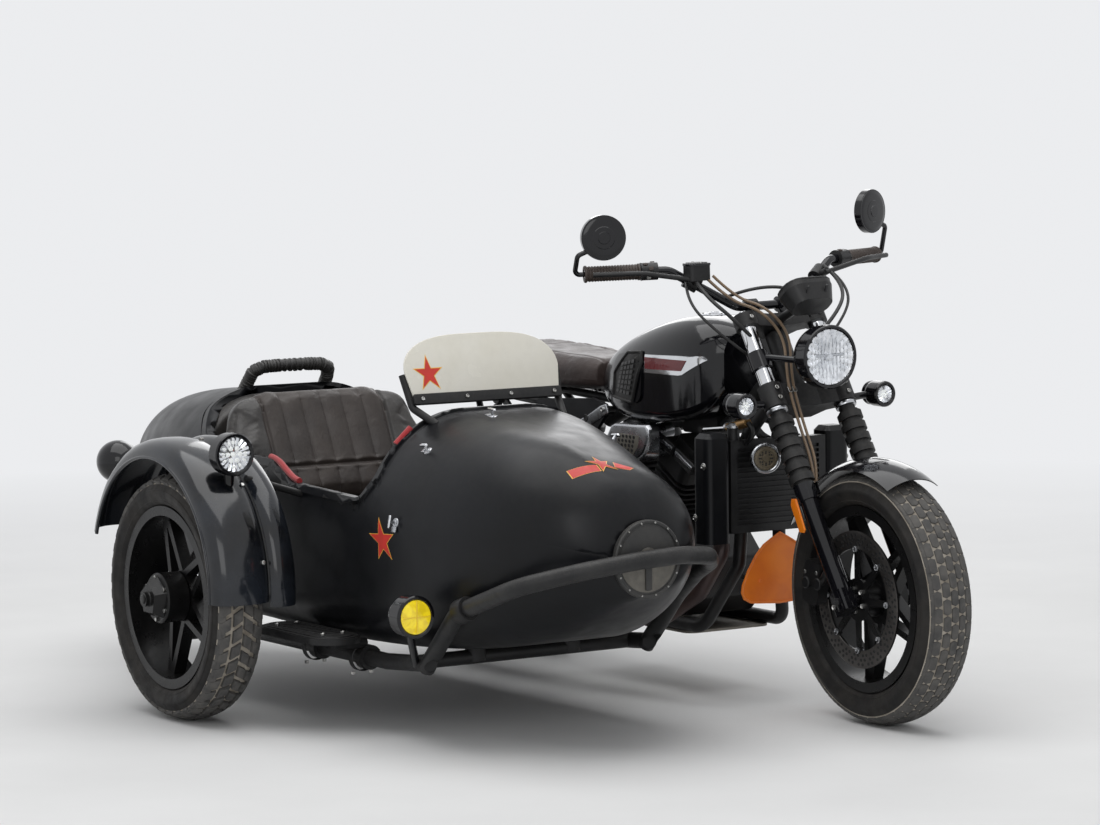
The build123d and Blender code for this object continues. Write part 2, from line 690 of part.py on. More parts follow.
CRANK = (712, 330)
ENGINE_HALF = 100
BANK_ANGLE = 30
DECK_R = 132
COVERS = ((-1, 640, 318, 92, 46), (-1, 800, 330, 74, 34), (1, 660, 320, 84, 44), (1, 800, 335, 70, 30))
BELT_T = 5
BELT_W = 20
ENGINE_PULLEY = (500, 318)
ENGINE_PULLEY_R = 36
with BuildPart() as crankcase:
    crank_x, crank_z = CRANK
    lean = math.radians(BANK_ANGLE)
    deck_points = [
        (
            crank_x + side * (DECK_R * math.sin(lean) + along * math.cos(lean)),
            crank_z + DECK_R * math.cos(lean) - along * math.sin(lean),
        )
        for side, along in ((1, 62), (1, -52), (-1, -52), (-1, 62))
    ]
    with BuildSketch(side_plane(at(0, 0, 0))):
        with BuildLine():
            FilletPolyline(
                (470, 212), (500, 190), (900, 190), (955, 240), (955, 330), (900, 385),
                deck_points[0], deck_points[1], deck_points[2], deck_points[3], (490, 392),
                radius=(12, 12, 20, 20, 20, 20, 4, 4, 4, 4, 20), close=True,
            )
        make_face()
    extrude(amount=ENGINE_HALF, both=True)
    for side, x, z, radius, reach in COVERS:
        with BuildSketch(side_plane(at(x, -side * -ENGINE_HALF, z))):
            Circle(radius)
        extrude(amount=-side * reach, taper=8 if side < 0 else 0)
    with BuildSketch(side_plane(at(0, ENGINE_HALF + 1, 0))):
        with Locations((480, 318)):
            Rectangle(150, 160)
    extrude(amount=ENGINE_HALF + 1 - (PULLEY_PLANE - BELT_W / 2 - RUNNING_GAP), mode=Mode.SUBTRACT)
    pulley_x, pulley_z = ENGINE_PULLEY
    rod(at(pulley_x, 60, pulley_z), at(pulley_x, PULLEY_PLANE + BELT_W / 2, pulley_z), ENGINE_PULLEY_R)
write(crankcase, "crankcase")

FINS = 7


def belt_loop(grow):
    """Add the solid of the loop that the belt makes round its two pulleys, grown by a distance."""
    with BuildSketch(side_plane(at(0, PULLEY_PLANE + BELT_W / 2, 0))) as loop:
        with BuildLine():
            CenterArc((0, REAR_TYRE_R), PULLEY_R + grow, 0, 360)
            CenterArc(ENGINE_PULLEY, ENGINE_PULLEY_R + grow, 0, 360)
        make_hull()
    return loop.sketch


with BuildPart() as drive_belt:
    extrude(belt_loop(SKIN_GAP + BELT_T), amount=BELT_W)
    extrude(belt_loop(SKIN_GAP), amount=BELT_W, mode=Mode.SUBTRACT)
write(drive_belt, "drive_belt")

with BuildPart() as cylinders:
    for bank in (1, -1):
        lean = math.radians(BANK_ANGLE) * bank
        up = Vector(math.sin(lean), 0, math.cos(lean))
        back = Vector(math.cos(lean), 0, -math.sin(lean))
        deck = Plane(origin=at(crank_x, 0, crank_z) + up * (DECK_R - 34), x_dir=back, z_dir=up)
        with BuildSketch(deck.offset(34 + SEAT_GAP)):
            RectangleRounded(104, 150, 24)
        extrude(amount=116)
        for fin in range(FINS):
            with BuildSketch(deck.offset(40 + fin * 15)):
                RectangleRounded(132, 196, 26)
            extrude(amount=5)
        with BuildSketch(deck.offset(146)):
            RectangleRounded(130, 200, 22)
        extrude(amount=58)
        with BuildSketch(deck.offset(204)):
            RectangleRounded(96, 150, 20)
        extrude(amount=22, taper=12)
write(cylinders, "cylinders")

with BuildPart() as air_filter:
    filter_at = at(752, -118, 612)
    with BuildSketch(side_plane(filter_at)):
        RectangleRounded(150, 96, 30)
    extrude(amount=52, taper=10)
    rod(at(815, -124, 588), at(815, -ENGINE_HALF - SEAT_GAP, 588), 10)
    rod(filter_at + FORWARD * -40, filter_at + FORWARD * -40 - RIGHT * 110 + UP * 20, 22)
write(air_filter, "air_filter")

RADIATOR_X = 1132
RADIATOR_HALF = 140
RADIATOR_LOW = 418
RADIATOR_HIGH = 640
RADIATOR_BARS = 16
with BuildPart() as radiator:
    mid_z = (RADIATOR_LOW + RADIATOR_HIGH) / 2
    height = RADIATOR_HIGH - RADIATOR_LOW
    with BuildSketch(cross_plane(at(RADIATOR_X, 0, mid_z))):
        Rectangle(2 * RADIATOR_HALF, height)
    extrude(amount=22)
    with BuildSketch(cross_plane(at(RADIATOR_X + 22, 0, mid_z))):
        Rectangle(2 * RADIATOR_HALF, height)
        Rectangle(2 * RADIATOR_HALF - 40, height - 30, mode=Mode.SUBTRACT)
        with GridLocations(0, (height - 34) / (RADIATOR_BARS - 1), 1, RADIATOR_BARS):
            Rectangle(2 * RADIATOR_HALF - 30, 4)
    extrude(amount=6)
    for side in (-1, 1):
        rod(at(RADIATOR_X + 4, side * 46, 600), at(1090, side * 46, 600), 9)
        down_tube(side, FRAME_R + SEAT_GAP, Mode.SUBTRACT)
    rod(at(RADIATOR_X + 8, -118, RADIATOR_HIGH - 8), at(RADIATOR_X + 8, -118, RADIATOR_HIGH + 30), 15)
    rod(at(RADIATOR_X + 24, -52, 598), at(RADIATOR_X + 52, -60, 598), 8)
    with BuildSketch(Plane(origin=at(RADIATOR_X + 50, -60, 598), z_dir=(0.92, -0.38, 0))):
        Circle(35)
    extrude(amount=22)
write(radiator, "radiator")

with BuildPart() as radiator_shrouds:
    for side in (-1, 1):
        with BuildSketch(Plane(origin=at(RADIATOR_X, side * 176, 396), z_dir=UP)):
            RectangleRounded(64, 71, 18)
        extrude(amount=264)
    chamfer(radiator_shrouds.faces().group_by(Axis.Z)[-1].edges(), 12)
write(radiator_shrouds, "radiator_shrouds")

PIPE_R = 21
with BuildPart() as exhaust:
    front_lean = math.radians(BANK_ANGLE)
    port_way = Vector(math.cos(front_lean), 0, -math.sin(front_lean))
    port = at(crank_x, -30, crank_z) + Vector(math.sin(front_lean), 0, math.cos(front_lean)) * (DECK_R + 140)
    port = port + port_way * (65 + SEAT_GAP)
    tube(
        [
            port, port + port_way * 60, at(1062, -112, 430), at(1096, -122, 372), at(1050, -158, 268),
            at(940, -204, 192), at(820, -228, 206), at(640, -255, 240), at(500, -262, 244),
        ],
        PIPE_R,
        40,
    )
    tube(
        [
            at(590, -100 - SEAT_GAP, 522), at(590, -150, 522), at(592, -250, 400),
            at(588, -262, 290), at(540, -262, 244),
        ],
        PIPE_R - 2,
        24,
    )
    muffler = Plane(origin=at(500, -262, 236), z_dir=(-1, 0, 0.06))
    with BuildSketch(muffler):
        Circle(24)
    with BuildSketch(muffler.offset(90)):
        Circle(46)
    loft()
    with BuildSketch(muffler.offset(90)):
        Circle(46)
    extrude(amount=480)
    with BuildSketch(muffler.offset(560)):
        Circle(20)
    extrude(amount=30)
    with BuildSketch(muffler.offset(540)):
        Circle(18)
    extrude(amount=60, mode=Mode.SUBTRACT)
write(exhaust, "exhaust")

PLATE_T = 6
with BuildPart() as skid_plate:
    plate_top = CRADLE_Z - FRAME_R - SEAT_GAP
    with BuildSketch(Plane(origin=at(712, 0, plate_top - PLATE_T), z_dir=UP)):
        RectangleRounded(486, 250, 30)
        with GridLocations(380, 190, 2, 2):
            Circle(7, mode=Mode.SUBTRACT)
        with GridLocations(110, 0, 3, 1):
            SlotOverall(80, 18, rotation=90, mode=Mode.SUBTRACT)
    extrude(amount=PLATE_T)
write(skid_plate, "skid_plate")

GUARD_X = 1160
with BuildPart() as chin_guard:
    with BuildSketch(cross_plane(at(GUARD_X, 0, 0))):
        with BuildLine():
            Polyline(
                (-92, 246), (92, 246), (112, 282), (104, 292), (12, 392), (-12, 392), (-104, 292), (-112, 282),
                close=True,
            )
        make_face()
    extrude(amount=6)
    for side in (-1, 1):
        rod(at(GUARD_X, side * 58, 322), at(1079, side * 60, 334), 8)
        down_tube(side, FRAME_R + SEAT_GAP, Mode.SUBTRACT)
write(chin_guard, "chin_guard")

# Tank sections: x, half width, low, high, upper radius, lower radius
TANK = (
    (530, 84, 716, 778, 30, 20),
    (600, 118, 688, 830, 60, 26),
    (700, 143, 668, 874, 84, 26),
    (800, 150, 664, 905, 94, 26),
    (1000, 128, 690, 918, 84, 26),
    (1056, 84, 740, 892, 56, 26),
)
PAD_PROUD = 5
with BuildPart() as fuel_tank:
    hull(TANK, 0)
    with BuildPart(mode=Mode.PRIVATE) as pads:
        hull(TANK, 0, grow=PAD_PROUD)
        with BuildSketch(side_plane(at(0, 0, 0))) as pad_outline:
            with BuildLine():
                FilletPolyline((662, 700), (800, 712), (806, 800), (770, 836), (668, 822), radius=26, close=True)
            make_face()
        extrude(pad_outline.sketch, amount=200, both=True, mode=Mode.INTERSECT)
    add(pads.part)
    with BuildSketch(cross_plane(at(480, 0, SPINE_Z))):
        Rectangle(2 * TUNNEL_HALF, 72)
    extrude(amount=620, mode=Mode.SUBTRACT)
    tube([head_back, at(1040, 0, SPINE_Z + 10), at(560, 0, SPINE_Z)], SPINE_R + RUNNING_GAP, 60, mode=Mode.SUBTRACT)
    with BuildSketch(Plane(origin=at(900, 0, 905), z_dir=UP)):
        Circle(32)
    extrude(amount=20)
write(fuel_tank, "fuel_tank")

SADDLE = (
    (-110, 118, 724, 800, 30, 18),
    (60, 138, 722, 816, 36, 18),
    (240, 140, 722, 808, 36, 18),
    (400, 126, 722, 800, 36, 18),
    (512, 90, 724, 796, 32, 18),
)
with BuildPart() as saddle:
    hull(SADDLE, 0)
    for side in (-1, 1):
        for x in (-60, 220):
            rod(at(x, side * 96, 740), at(x, side * 96, 690), 10)
        sub_tube(side, SUB_R + SEAT_GAP, Mode.SUBTRACT)
    with BuildSketch(Plane(origin=at(100, 0, 660), z_dir=UP)):
        Rectangle(700, 400)
    extrude(amount=34, mode=Mode.SUBTRACT)
write(saddle, "saddle")

REAR_FENDER_R = 344
with BuildPart() as rear_fender:
    half = REAR_TYRE_W / 2 + 12
    with BuildSketch(radial_plane(REAR_AXLE, 28)):
        with Locations((REAR_FENDER_R, 0)):
            Rectangle(4, 2 * half)
        with Locations((REAR_FENDER_R - 20, half - 2), (REAR_FENDER_R - 20, -half + 2)):
            Rectangle(40, 4)
    revolve(axis=Axis(REAR_AXLE, RIGHT), revolution_arc=132)
    for side in (-1, 1):
        rod(at(-60, side * 80, 625), at(-60, side * 96, 690), 9)
        sub_tube(side, SUB_R + SEAT_GAP, Mode.SUBTRACT)
    tail = REAR_AXLE + Vector(-REAR_FENDER_R, 0, 150)
    with BuildSketch(Plane(origin=tail + FORWARD * 40, z_dir=-FORWARD)):
        RectangleRounded(84, 54, 14)
    extrude(amount=72)
write(rear_fender, "rear_fender")

with BuildPart() as side_panels:
    for side in (-1, 1):
        with BuildSketch(side_plane(at(0, side * 128, 0))):
            with BuildLine():
                FilletPolyline((300, 560), (560, 610), (640, 690), (560, 706), (300, 690), radius=16, close=True)
            make_face()
        extrude(amount=-side * 10)
        rod(at(440, side * 130, 640), at(440, side * 98, 640), 7)
        down_tube(side, FRAME_R + SEAT_GAP, Mode.SUBTRACT)
write(side_panels, "side_panels")

with BuildPart() as swingarm:
    for side in (-1, 1):
        tube(
            [
                at(pivot_x - 6, side * 76, pivot_z), at(320, side * ARM_Y, 314),
                at(-52, side * ARM_Y, REAR_TYRE_R),
            ],
            ARM_R,
            60,
        )
    rod(at(pivot_x, -92, pivot_z), at(pivot_x, 92, pivot_z), 26)
    rod(at(pivot_x, -114, pivot_z), at(pivot_x, 114, pivot_z), 15 + SEAT_GAP, mode=Mode.SUBTRACT)
    rod(at(0, -ARM_Y - 26, REAR_TYRE_R), at(0, ARM_Y + 26, REAR_TYRE_R), AXLE_R)
write(swingarm, "swingarm")

COILS = 9
with BuildPart() as rear_shocks:
    for side in (-1, 1):
        low = at(34, side * SHOCK_Y, 330)
        top = at(150, side * SHOCK_Y, 662)
        axis_dir = (top - low).normalized()
        length = (top - low).length
        rod(low, top, 14)
        rod(low - axis_dir * 20, top + axis_dir * 20, EYE_HALF - 1.5)
        for index in range(COILS):
            spot = low + axis_dir * (60 + index * (length - 120) / COILS)
            rod(spot, spot + axis_dir * 16, 27)
        for x, z in ((34, 306), (150, 686)):
            rod(at(x, side * (SHOCK_Y - EYE_HALF), z), at(x, side * (SHOCK_Y + EYE_HALF), z), 18)
write(rear_shocks, "rear_shocks")

# Sidecar body sections: x, half width, low, high, upper radius, lower radius
BODY = (
    (-640, 84, 410, 560, 72, 72),
    (-540, 156, 330, 640, 130, 120),
    (-330, 240, 258, 702, 180, 130),
    (-20, 316, 212, 734, 225, 120),
    (400, 345, 200, 742, 262, 110),
    (980, 345, 200, 742, 262, 130),
    (1220, 322, 214, 728, 250, 170),
    (1430, 262, 262, 696, 205, 190),
    (1550, 190, 322, 632, 150, 150),
    (NOSE_X, NOSE_R, NOSE_Z - NOSE_R, NOSE_Z + NOSE_R, NOSE_R - 1, NOSE_R - 1),
)
# The opening's lower edge, side view: x, z
RIM = ((20, 980), (20, 700), (110, 640), (190, 604), (500, 604), (630, 560), (950, 548), (990, 600), (1004, 980))
RIM_ROUND = 36
BOX_BACK = 215
BOX_FRONT = 640
BOX_TOP = 330


def rim_prism(grow, mode=Mode.ADD):
    """Add the opening's outline, grown by a distance, through the whole width of the sidecar."""
    with BuildSketch(side_plane(car(0, 0, 0))) as outline:
        with BuildLine():
            FilletPolyline(*RIM, radius=RIM_ROUND, close=True)
        make_face()
        if grow:
            offset(amount=grow)
    extrude(outline.sketch, amount=420, both=True, mode=mode)


with BuildPart() as opening_cut:
    rim_prism(0)
with BuildPart() as lip_band:
    rim_prism(LIP_WIDTH)
    add(opening_cut.part, mode=Mode.SUBTRACT)
    with BuildSketch(Plane(origin=car(500, 0, 0), z_dir=UP)):
        Rectangle(1400, 900)
    extrude(amount=790, mode=Mode.INTERSECT)
with BuildPart() as lip:
    hull(BODY, CAR_OFFSET, grow=LIP)
    with BuildPart(mode=Mode.PRIVATE) as lip_void:
        hull(BODY, CAR_OFFSET, grow=-WALL - LIP, end_trim=WALL + LIP)
    add(lip_void.part, mode=Mode.SUBTRACT)
    add(lip_band.part, mode=Mode.INTERSECT)
with BuildPart() as sidecar_body:
    hull(BODY, CAR_OFFSET)
    with BuildPart(mode=Mode.PRIVATE) as void:
        hull(BODY, CAR_OFFSET, grow=-WALL, end_trim=WALL)
    add(void.part, mode=Mode.SUBTRACT)
    with BuildSketch(Plane(origin=car((BOX_BACK + BOX_FRONT) / 2, 0, 204), z_dir=UP)):
        Rectangle(BOX_FRONT - BOX_BACK, 520)
    extrude(amount=BOX_TOP - 204)
    add(opening_cut.part, mode=Mode.SUBTRACT)
    add(lip.part)
write(sidecar_body, "sidecar_body")

with BuildPart() as body_skin:
    hull(BODY, CAR_OFFSET, grow=LIP + SKIN_GAP)
    rim_prism(LIP_WIDTH + SKIN_GAP, mode=Mode.INTERSECT)
    hull(BODY, CAR_OFFSET, grow=SKIN_GAP)

with BuildPart() as nose_cover:
    with BuildSketch(cross_plane(car(NOSE_X + SEAT_GAP, 0, NOSE_Z))):
        Circle(NOSE_R)
    extrude(amount=12)
    chamfer(nose_cover.faces().sort_by(Axis.X)[-1].edges(), 5)
    with BuildSketch(cross_plane(car(NOSE_X + 12, 0, NOSE_Z - 30))):
        Rectangle(16, 76)
    extrude(amount=5)
write(nose_cover, "nose_cover")

CUSHION_TOP = 446
with BuildPart() as sidecar_cushion:
    with BuildSketch(Plane(origin=car((BOX_BACK + BOX_FRONT) / 2 + 8, 0, BOX_TOP + SEAT_GAP), z_dir=UP)):
        RectangleRounded(BOX_FRONT - BOX_BACK + 10, 530, 60)
    extrude(amount=CUSHION_TOP - BOX_TOP)
    fillet(sidecar_cushion.faces().sort_by(Axis.Z)[-1].edges(), 30)
write(sidecar_cushion, "sidecar_cushion")

BACK_LOW = (219.4, 436)
BACK_TOP = (84, 718)
BACK_HALF = 256
BACK_T = 84
back_x, back_z = BACK_LOW
top_x, top_z = BACK_TOP
back_up = (Vector(top_x, 0, top_z) - Vector(back_x, 0, back_z)).normalized()
back_height = math.hypot(top_x - back_x, top_z - back_z)
BACK_PLANE = Plane(origin=car(back_x, 0, back_z), x_dir=-RIGHT, z_dir=Vector(0, 1, 0).cross(back_up))
with BuildPart() as sidecar_seat_back:
    with BuildSketch(BACK_PLANE):
        with BuildLine():
            FilletPolyline(
                (-BACK_HALF + 20, 0), (BACK_HALF - 20, 0), (BACK_HALF, back_height * 0.5),
                (BACK_HALF - 26, back_height - 30), (150, back_height), (-150, back_height),
                (-BACK_HALF + 26, back_height - 30), (-BACK_HALF, back_height * 0.5),
                radius=50, close=True,
            )
        make_face()
    extrude(amount=BACK_T)
    fillet(sidecar_seat_back.faces().sort_by(Axis.X)[-1].edges(), 24)
write(sidecar_seat_back, "sidecar_seat_back")

GRAB_HALF = 111
GRAB_Z = 786
with BuildPart() as grab_rail:
    tube(
        [
            car(-26, -GRAB_HALF - 6, 716), car(30, -GRAB_HALF, GRAB_Z),
            car(30, GRAB_HALF, GRAB_Z), car(-26, GRAB_HALF + 6, 716),
        ],
        GRAB_R,
        44,
    )
    add(body_skin.part, mode=Mode.SUBTRACT)
write(grab_rail, "grab_rail")

PANE_LOW = (998, 764)
PANE_LEAN = 20
PANE_ASIDE = 18
lean = math.radians(PANE_LEAN)
pane_x, pane_z = PANE_LOW
PANE_PLANE = Plane(
    origin=car(pane_x, -PANE_ASIDE, pane_z), x_dir=-RIGHT, z_dir=(math.cos(lean), 0, math.sin(lean))
)
PANE_HALF = 196
PANE_HIGH = 160
with BuildPart() as windshield:
    with BuildSketch(PANE_PLANE):
        with BuildLine():
            FilletPolyline(
                (-PANE_HALF, 0), (PANE_HALF, 0), (PANE_HALF + 14, 84), (PANE_HALF - 60, PANE_HIGH - 14),
                (30, PANE_HIGH), (-30, PANE_HIGH), (-PANE_HALF + 60, PANE_HIGH - 14), (-PANE_HALF - 14, 84),
                radius=22, close=True,
            )
        make_face()
    extrude(amount=PANE_T)
write(windshield, "windshield")

with BuildPart() as windshield_frame:
    for side in (-1, 1):
        edge = PANE_PLANE.from_local_coords(Vector(side * (PANE_HALF + 14), 70, -STAY_R - SEAT_GAP))
        corner = PANE_PLANE.from_local_coords(Vector(side * (PANE_HALF + 4), -10, -STAY_R - SEAT_GAP))
        foot = car(1046, side * 168, 704)
        tube([edge, corner, foot], STAY_R, 20)
        rod(foot - UP * 4, foot + Vector(0, side * 8, 16), 14)
    rod(
        PANE_PLANE.from_local_coords(Vector(-PANE_HALF, 4, -STAY_R - SEAT_GAP)),
        PANE_PLANE.from_local_coords(Vector(PANE_HALF, 4, -STAY_R - SEAT_GAP)),
        STAY_R - 1,
    )
    add(body_skin.part, mode=Mode.SUBTRACT)
write(windshield_frame, "windshield_frame")

# Sidecar chassis
RAIL_FRONT = 1190
RAIL_BACK = -250
with BuildPart() as sidecar_frame:
    for side in (-1, 1):
        tube(
            [
                car(RAIL_BACK, side * (CAR_RAIL_HALF - 60), CAR_RAIL_Z + 30),
                car(-60, side * CAR_RAIL_HALF, CAR_RAIL_Z),
                car(1000, side * CAR_RAIL_HALF, CAR_RAIL_Z),
                car(RAIL_FRONT, side * CAR_RAIL_HALF, CAR_RAIL_Z + 16),
            ],
            RAIL_R,
            120,
        )
    for x, z in ((RAIL_BACK + 10, CAR_RAIL_Z + 28), (CAR_LEAD, CAR_RAIL_Z), (RAIL_FRONT - 80, CAR_RAIL_Z + 9)):
        half = CAR_RAIL_HALF - (60 if x < 0 else 0)
        rod(car(x, -half, z), car(x, half, z), RAIL_R - 2)
    inner_y = CAR_RAIL_HALF + CAR_OFFSET
    for x in (690, 470):
        rod(at(x, inner_y, CAR_RAIL_Z), at(x, -CRADLE_HALF - FRAME_R - SEAT_GAP, CRADLE_Z), RAIL_R - 2)
    for x, bush_top in ((CAR_LEAD, 198.6), (RAIL_FRONT - 80, 203.1)):
        for side in (-1, 1):
            rod(car(x, side * 130, CAR_RAIL_Z), car(x, side * 130, bush_top), 24)
    tube([at(196, inner_y, CAR_RAIL_Z), at(212, -306, 296), at(250, -96 - 12.3, 668)], 14, 60)
write(sidecar_frame, "sidecar_frame")

HUB_FACE = HUB_W / 2
with BuildPart() as sidecar_axle:
    arm_y = -CAR_TRACK + DISC_PLANE + 34
    rod(CAR_AXLE + RIGHT * (CAP_REACH - 56), at(CAR_LEAD, arm_y - 12, CAR_TYRE_R), AXLE_R)
    with BuildSketch(side_plane(at(CAR_LEAD, arm_y, CAR_TYRE_R))):
        Circle(34)
    extrude(amount=14, both=True)
    tube(
        [
            at(CAR_LEAD, arm_y, CAR_TYRE_R), at(CAR_LEAD - 120, arm_y + 4, CAR_TYRE_R - 70),
            at(CAR_LEAD - 240, arm_y + 8, CAR_RAIL_Z),
        ],
        17,
        60,
    )
    rod(
        at(CAR_LEAD - 240, arm_y - 14, CAR_RAIL_Z),
        at(CAR_LEAD - 240, CAR_OFFSET - CAR_RAIL_HALF - RAIL_R - SEAT_GAP, CAR_RAIL_Z),
        22,
    )
write(sidecar_axle, "sidecar_axle")

BUMPER_FOOT = CAR_RAIL_Z + 4
# Bends between the bumper's two feet, from right to left: x, y from the sidecar's centre, z
BUMPER = (
    (1330, -310, 320), (1560, -296, 400), (1650, -190, 434), (1670, -50, 450), (1672, 60, 455),
    (1618, 172, 440), (1510, 252, 410), (1400, 290, 372), (1290, 314, 310),
)
with BuildPart() as bumper:
    feet = [car(RAIL_FRONT - 16, side * CAR_RAIL_HALF, BUMPER_FOOT) for side in (-1, 1)]
    tube([feet[0], *(car(*point) for point in BUMPER), feet[1]], BUMPER_R, 110)
    for side in (-1, 1):
        tube(
            [
                car(1000, side * CAR_RAIL_HALF, CAR_RAIL_Z),
                car(RAIL_FRONT + 40, side * CAR_RAIL_HALF, CAR_RAIL_Z + 19.4),
            ],
            RAIL_R + SEAT_GAP,
            mode=Mode.SUBTRACT,
        )
write(bumper, "bumper")

STEP_Z = 214
STEP_X = 800
STEP_Y = -1092
with BuildPart() as step_plate:
    with BuildSketch(Plane(origin=at(STEP_X, STEP_Y, STEP_Z), z_dir=UP)):
        RectangleRounded(340, 128, 62)
        with GridLocations(150, 40, 2, 2):
            Circle(4, mode=Mode.SUBTRACT)
    extrude(amount=14)
    for x in (STEP_X - 110, STEP_X + 110):
        rod(at(x, STEP_Y, STEP_Z - 8), at(x, CAR_OFFSET - CAR_RAIL_HALF - 6, STEP_Z - 8), 12)
        with BuildSketch(cross_plane(at(x, CAR_OFFSET - CAR_RAIL_HALF, CAR_RAIL_Z))):
            Circle(RAIL_R + 10)
        extrude(amount=14, both=True)
    with BuildSketch(cross_plane(at(STEP_X - 200, CAR_OFFSET - CAR_RAIL_HALF, CAR_RAIL_Z))):
        Circle(RAIL_R + SEAT_GAP)
    extrude(amount=400, mode=Mode.SUBTRACT)
write(step_plate, "step_plate")

CAR_FENDER_R = 342
FENDER_CENTRE = CAR_AXLE + Vector(-34, 0, 33)
with BuildPart() as sidecar_fender:
    half = CAR_TYRE_W / 2 + 10
    with BuildSketch(radial_plane(FENDER_CENTRE, -4)):
        with Locations((CAR_FENDER_R - 2, 0)):
            Rectangle(4, 2 * half)
        with Locations((CAR_FENDER_R - 14, half - 2)):
            Rectangle(28, 4)
        with Locations((CAR_FENDER_R - 30, -half + 2)):
            Rectangle(60, 4)
        with Locations((CAR_FENDER_R + 2, -half + 14)):
            Rectangle(6, 8)
    revolve(axis=Axis(FENDER_CENTRE, RIGHT), revolution_arc=166)
    with BuildSketch(radial_plane(FENDER_CENTRE, 24)):
        with Locations((CAR_FENDER_R - 2, -half - 28)):
            Rectangle(4, 64)
    revolve(axis=Axis(FENDER_CENTRE, RIGHT), revolution_arc=120)
    for angle in (50, 118):
        turn = math.radians(angle)
        spot = FENDER_CENTRE + Vector(math.cos(turn), 0, math.sin(turn)) * (CAR_FENDER_R - 6)
        rod(spot - RIGHT * (half + 40), Vector(spot.X, BIKE_Y + CAR_OFFSET - 300, spot.Z - 60), 8)
    add(body_skin.part, mode=Mode.SUBTRACT)
write(sidecar_fender, "sidecar_fender")

ROUND_LAMP_R = 49
BALL_R = 52
STALK_R = 12
with BuildPart() as sidecar_lamps:
    front = at(702, -1243, 645)
    lamp_bowl(front, ROUND_LAMP_R, 22, -8, -36)
    rod(front - UP * 30, front - UP * 90 - FORWARD * 6, STALK_R)
    ball = at(160, -CAR_TRACK, 588)
    toward = (FENDER_CENTRE - ball).normalized()
    stalk_at = math.sqrt(BALL_R**2 - STALK_R**2)
    with BuildSketch(Plane(origin=ball, x_dir=toward, z_dir=RIGHT)):
        with BuildLine():
            Polyline((-BALL_R, 0), (100, 0), (100, STALK_R), (stalk_at, STALK_R))
            ThreePointArc((stalk_at, STALK_R), (0, BALL_R), (-BALL_R, 0))
        make_face()
    revolve(axis=Axis(ball, toward))
    rod(FENDER_CENTRE + RIGHT * 60, FENDER_CENTRE - RIGHT * 40, CAR_FENDER_R + SEAT_GAP, mode=Mode.SUBTRACT)
write(sidecar_lamps, "sidecar_lamps")

with BuildPart() as fog_lamp:
    fog = at(1250, -1090, 312)
    lamp_bowl(fog, 47, 26, -6, -44)
    rod(fog - UP * 30, at(1150, CAR_OFFSET - CAR_RAIL_HALF - 12, CAR_RAIL_Z + 10), 9)
    rod(
        car(1000, -CAR_RAIL_HALF, CAR_RAIL_Z), car(RAIL_FRONT + 40, -CAR_RAIL_HALF, CAR_RAIL_Z + 19.4),
        RAIL_R + SEAT_GAP, mode=Mode.SUBTRACT,
    )
write(fog_lamp, "fog_lamp")
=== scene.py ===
"""Sidecar motorcycle: finishes, tread, upholstery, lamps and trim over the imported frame.

Lengths in the pieces' tables are millimetres from the rear axle's foot, as the solids' source has them:
ahead, left of the motorcycle's plane, and up. Meshes are in metres.
"""
import logging
from collections.abc import Callable, Iterable, Sequence
from dataclasses import dataclass
from enum import Enum
from math import asin, atan2, copysign, cos, exp, hypot, pi, radians, sin, sqrt, tau

import bmesh
import bpy
from mathutils import Matrix, Vector
from mathutils.bvhtree import BVHTree

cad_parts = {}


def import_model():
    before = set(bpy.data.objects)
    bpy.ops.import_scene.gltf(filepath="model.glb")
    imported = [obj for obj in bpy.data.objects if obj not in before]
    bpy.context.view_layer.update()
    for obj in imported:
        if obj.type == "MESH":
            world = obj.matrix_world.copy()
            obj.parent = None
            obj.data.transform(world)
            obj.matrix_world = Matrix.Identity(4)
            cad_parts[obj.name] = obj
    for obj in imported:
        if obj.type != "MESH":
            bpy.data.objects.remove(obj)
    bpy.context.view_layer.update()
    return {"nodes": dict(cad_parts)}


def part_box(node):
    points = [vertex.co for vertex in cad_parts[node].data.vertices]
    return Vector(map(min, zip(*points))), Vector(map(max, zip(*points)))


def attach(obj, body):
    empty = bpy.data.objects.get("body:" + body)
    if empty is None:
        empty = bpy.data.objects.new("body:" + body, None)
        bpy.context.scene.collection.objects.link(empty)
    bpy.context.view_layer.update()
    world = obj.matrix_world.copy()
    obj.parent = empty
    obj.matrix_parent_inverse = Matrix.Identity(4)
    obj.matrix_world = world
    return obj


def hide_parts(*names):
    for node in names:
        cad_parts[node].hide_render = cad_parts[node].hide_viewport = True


log = logging.getLogger("sidecar")

MM = 0.001
REAR_X = -606.0
BIKE_Y = 461.0
CAR_OFFSET = -700.0
CAR_TRACK = 1261.0
CAR_LEAD = 503.0
WHEELBASE = 1556.0

FORWARD = Vector((1, 0, 0))
LEFT = Vector((0, 1, 0))
RIGHT = Vector((0, -1, 0))
UP = Vector((0, 0, 1))

Colour = tuple[float, float, float]
Place = tuple[float, float, float]


class Body(str, Enum):
    """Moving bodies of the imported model."""

    CHASSIS = "chassis"
    STEERING = "steering"
    FRONT_WHEEL = "front_wheel"
    REAR_WHEEL = "rear_wheel"
    CAR_WHEEL = "sidecar_wheel"


def bike(x: float, y: float, z: float) -> Vector:
    """Return a point in metres from millimetres ahead of the rear axle, left, and up."""
    return Vector((x + REAR_X, y + BIKE_Y, z)) * MM


def car(x: float, y: float, z: float) -> Vector:
    """Return a point whose y counts from the sidecar's centre plane."""
    return bike(x, y + CAR_OFFSET, z)


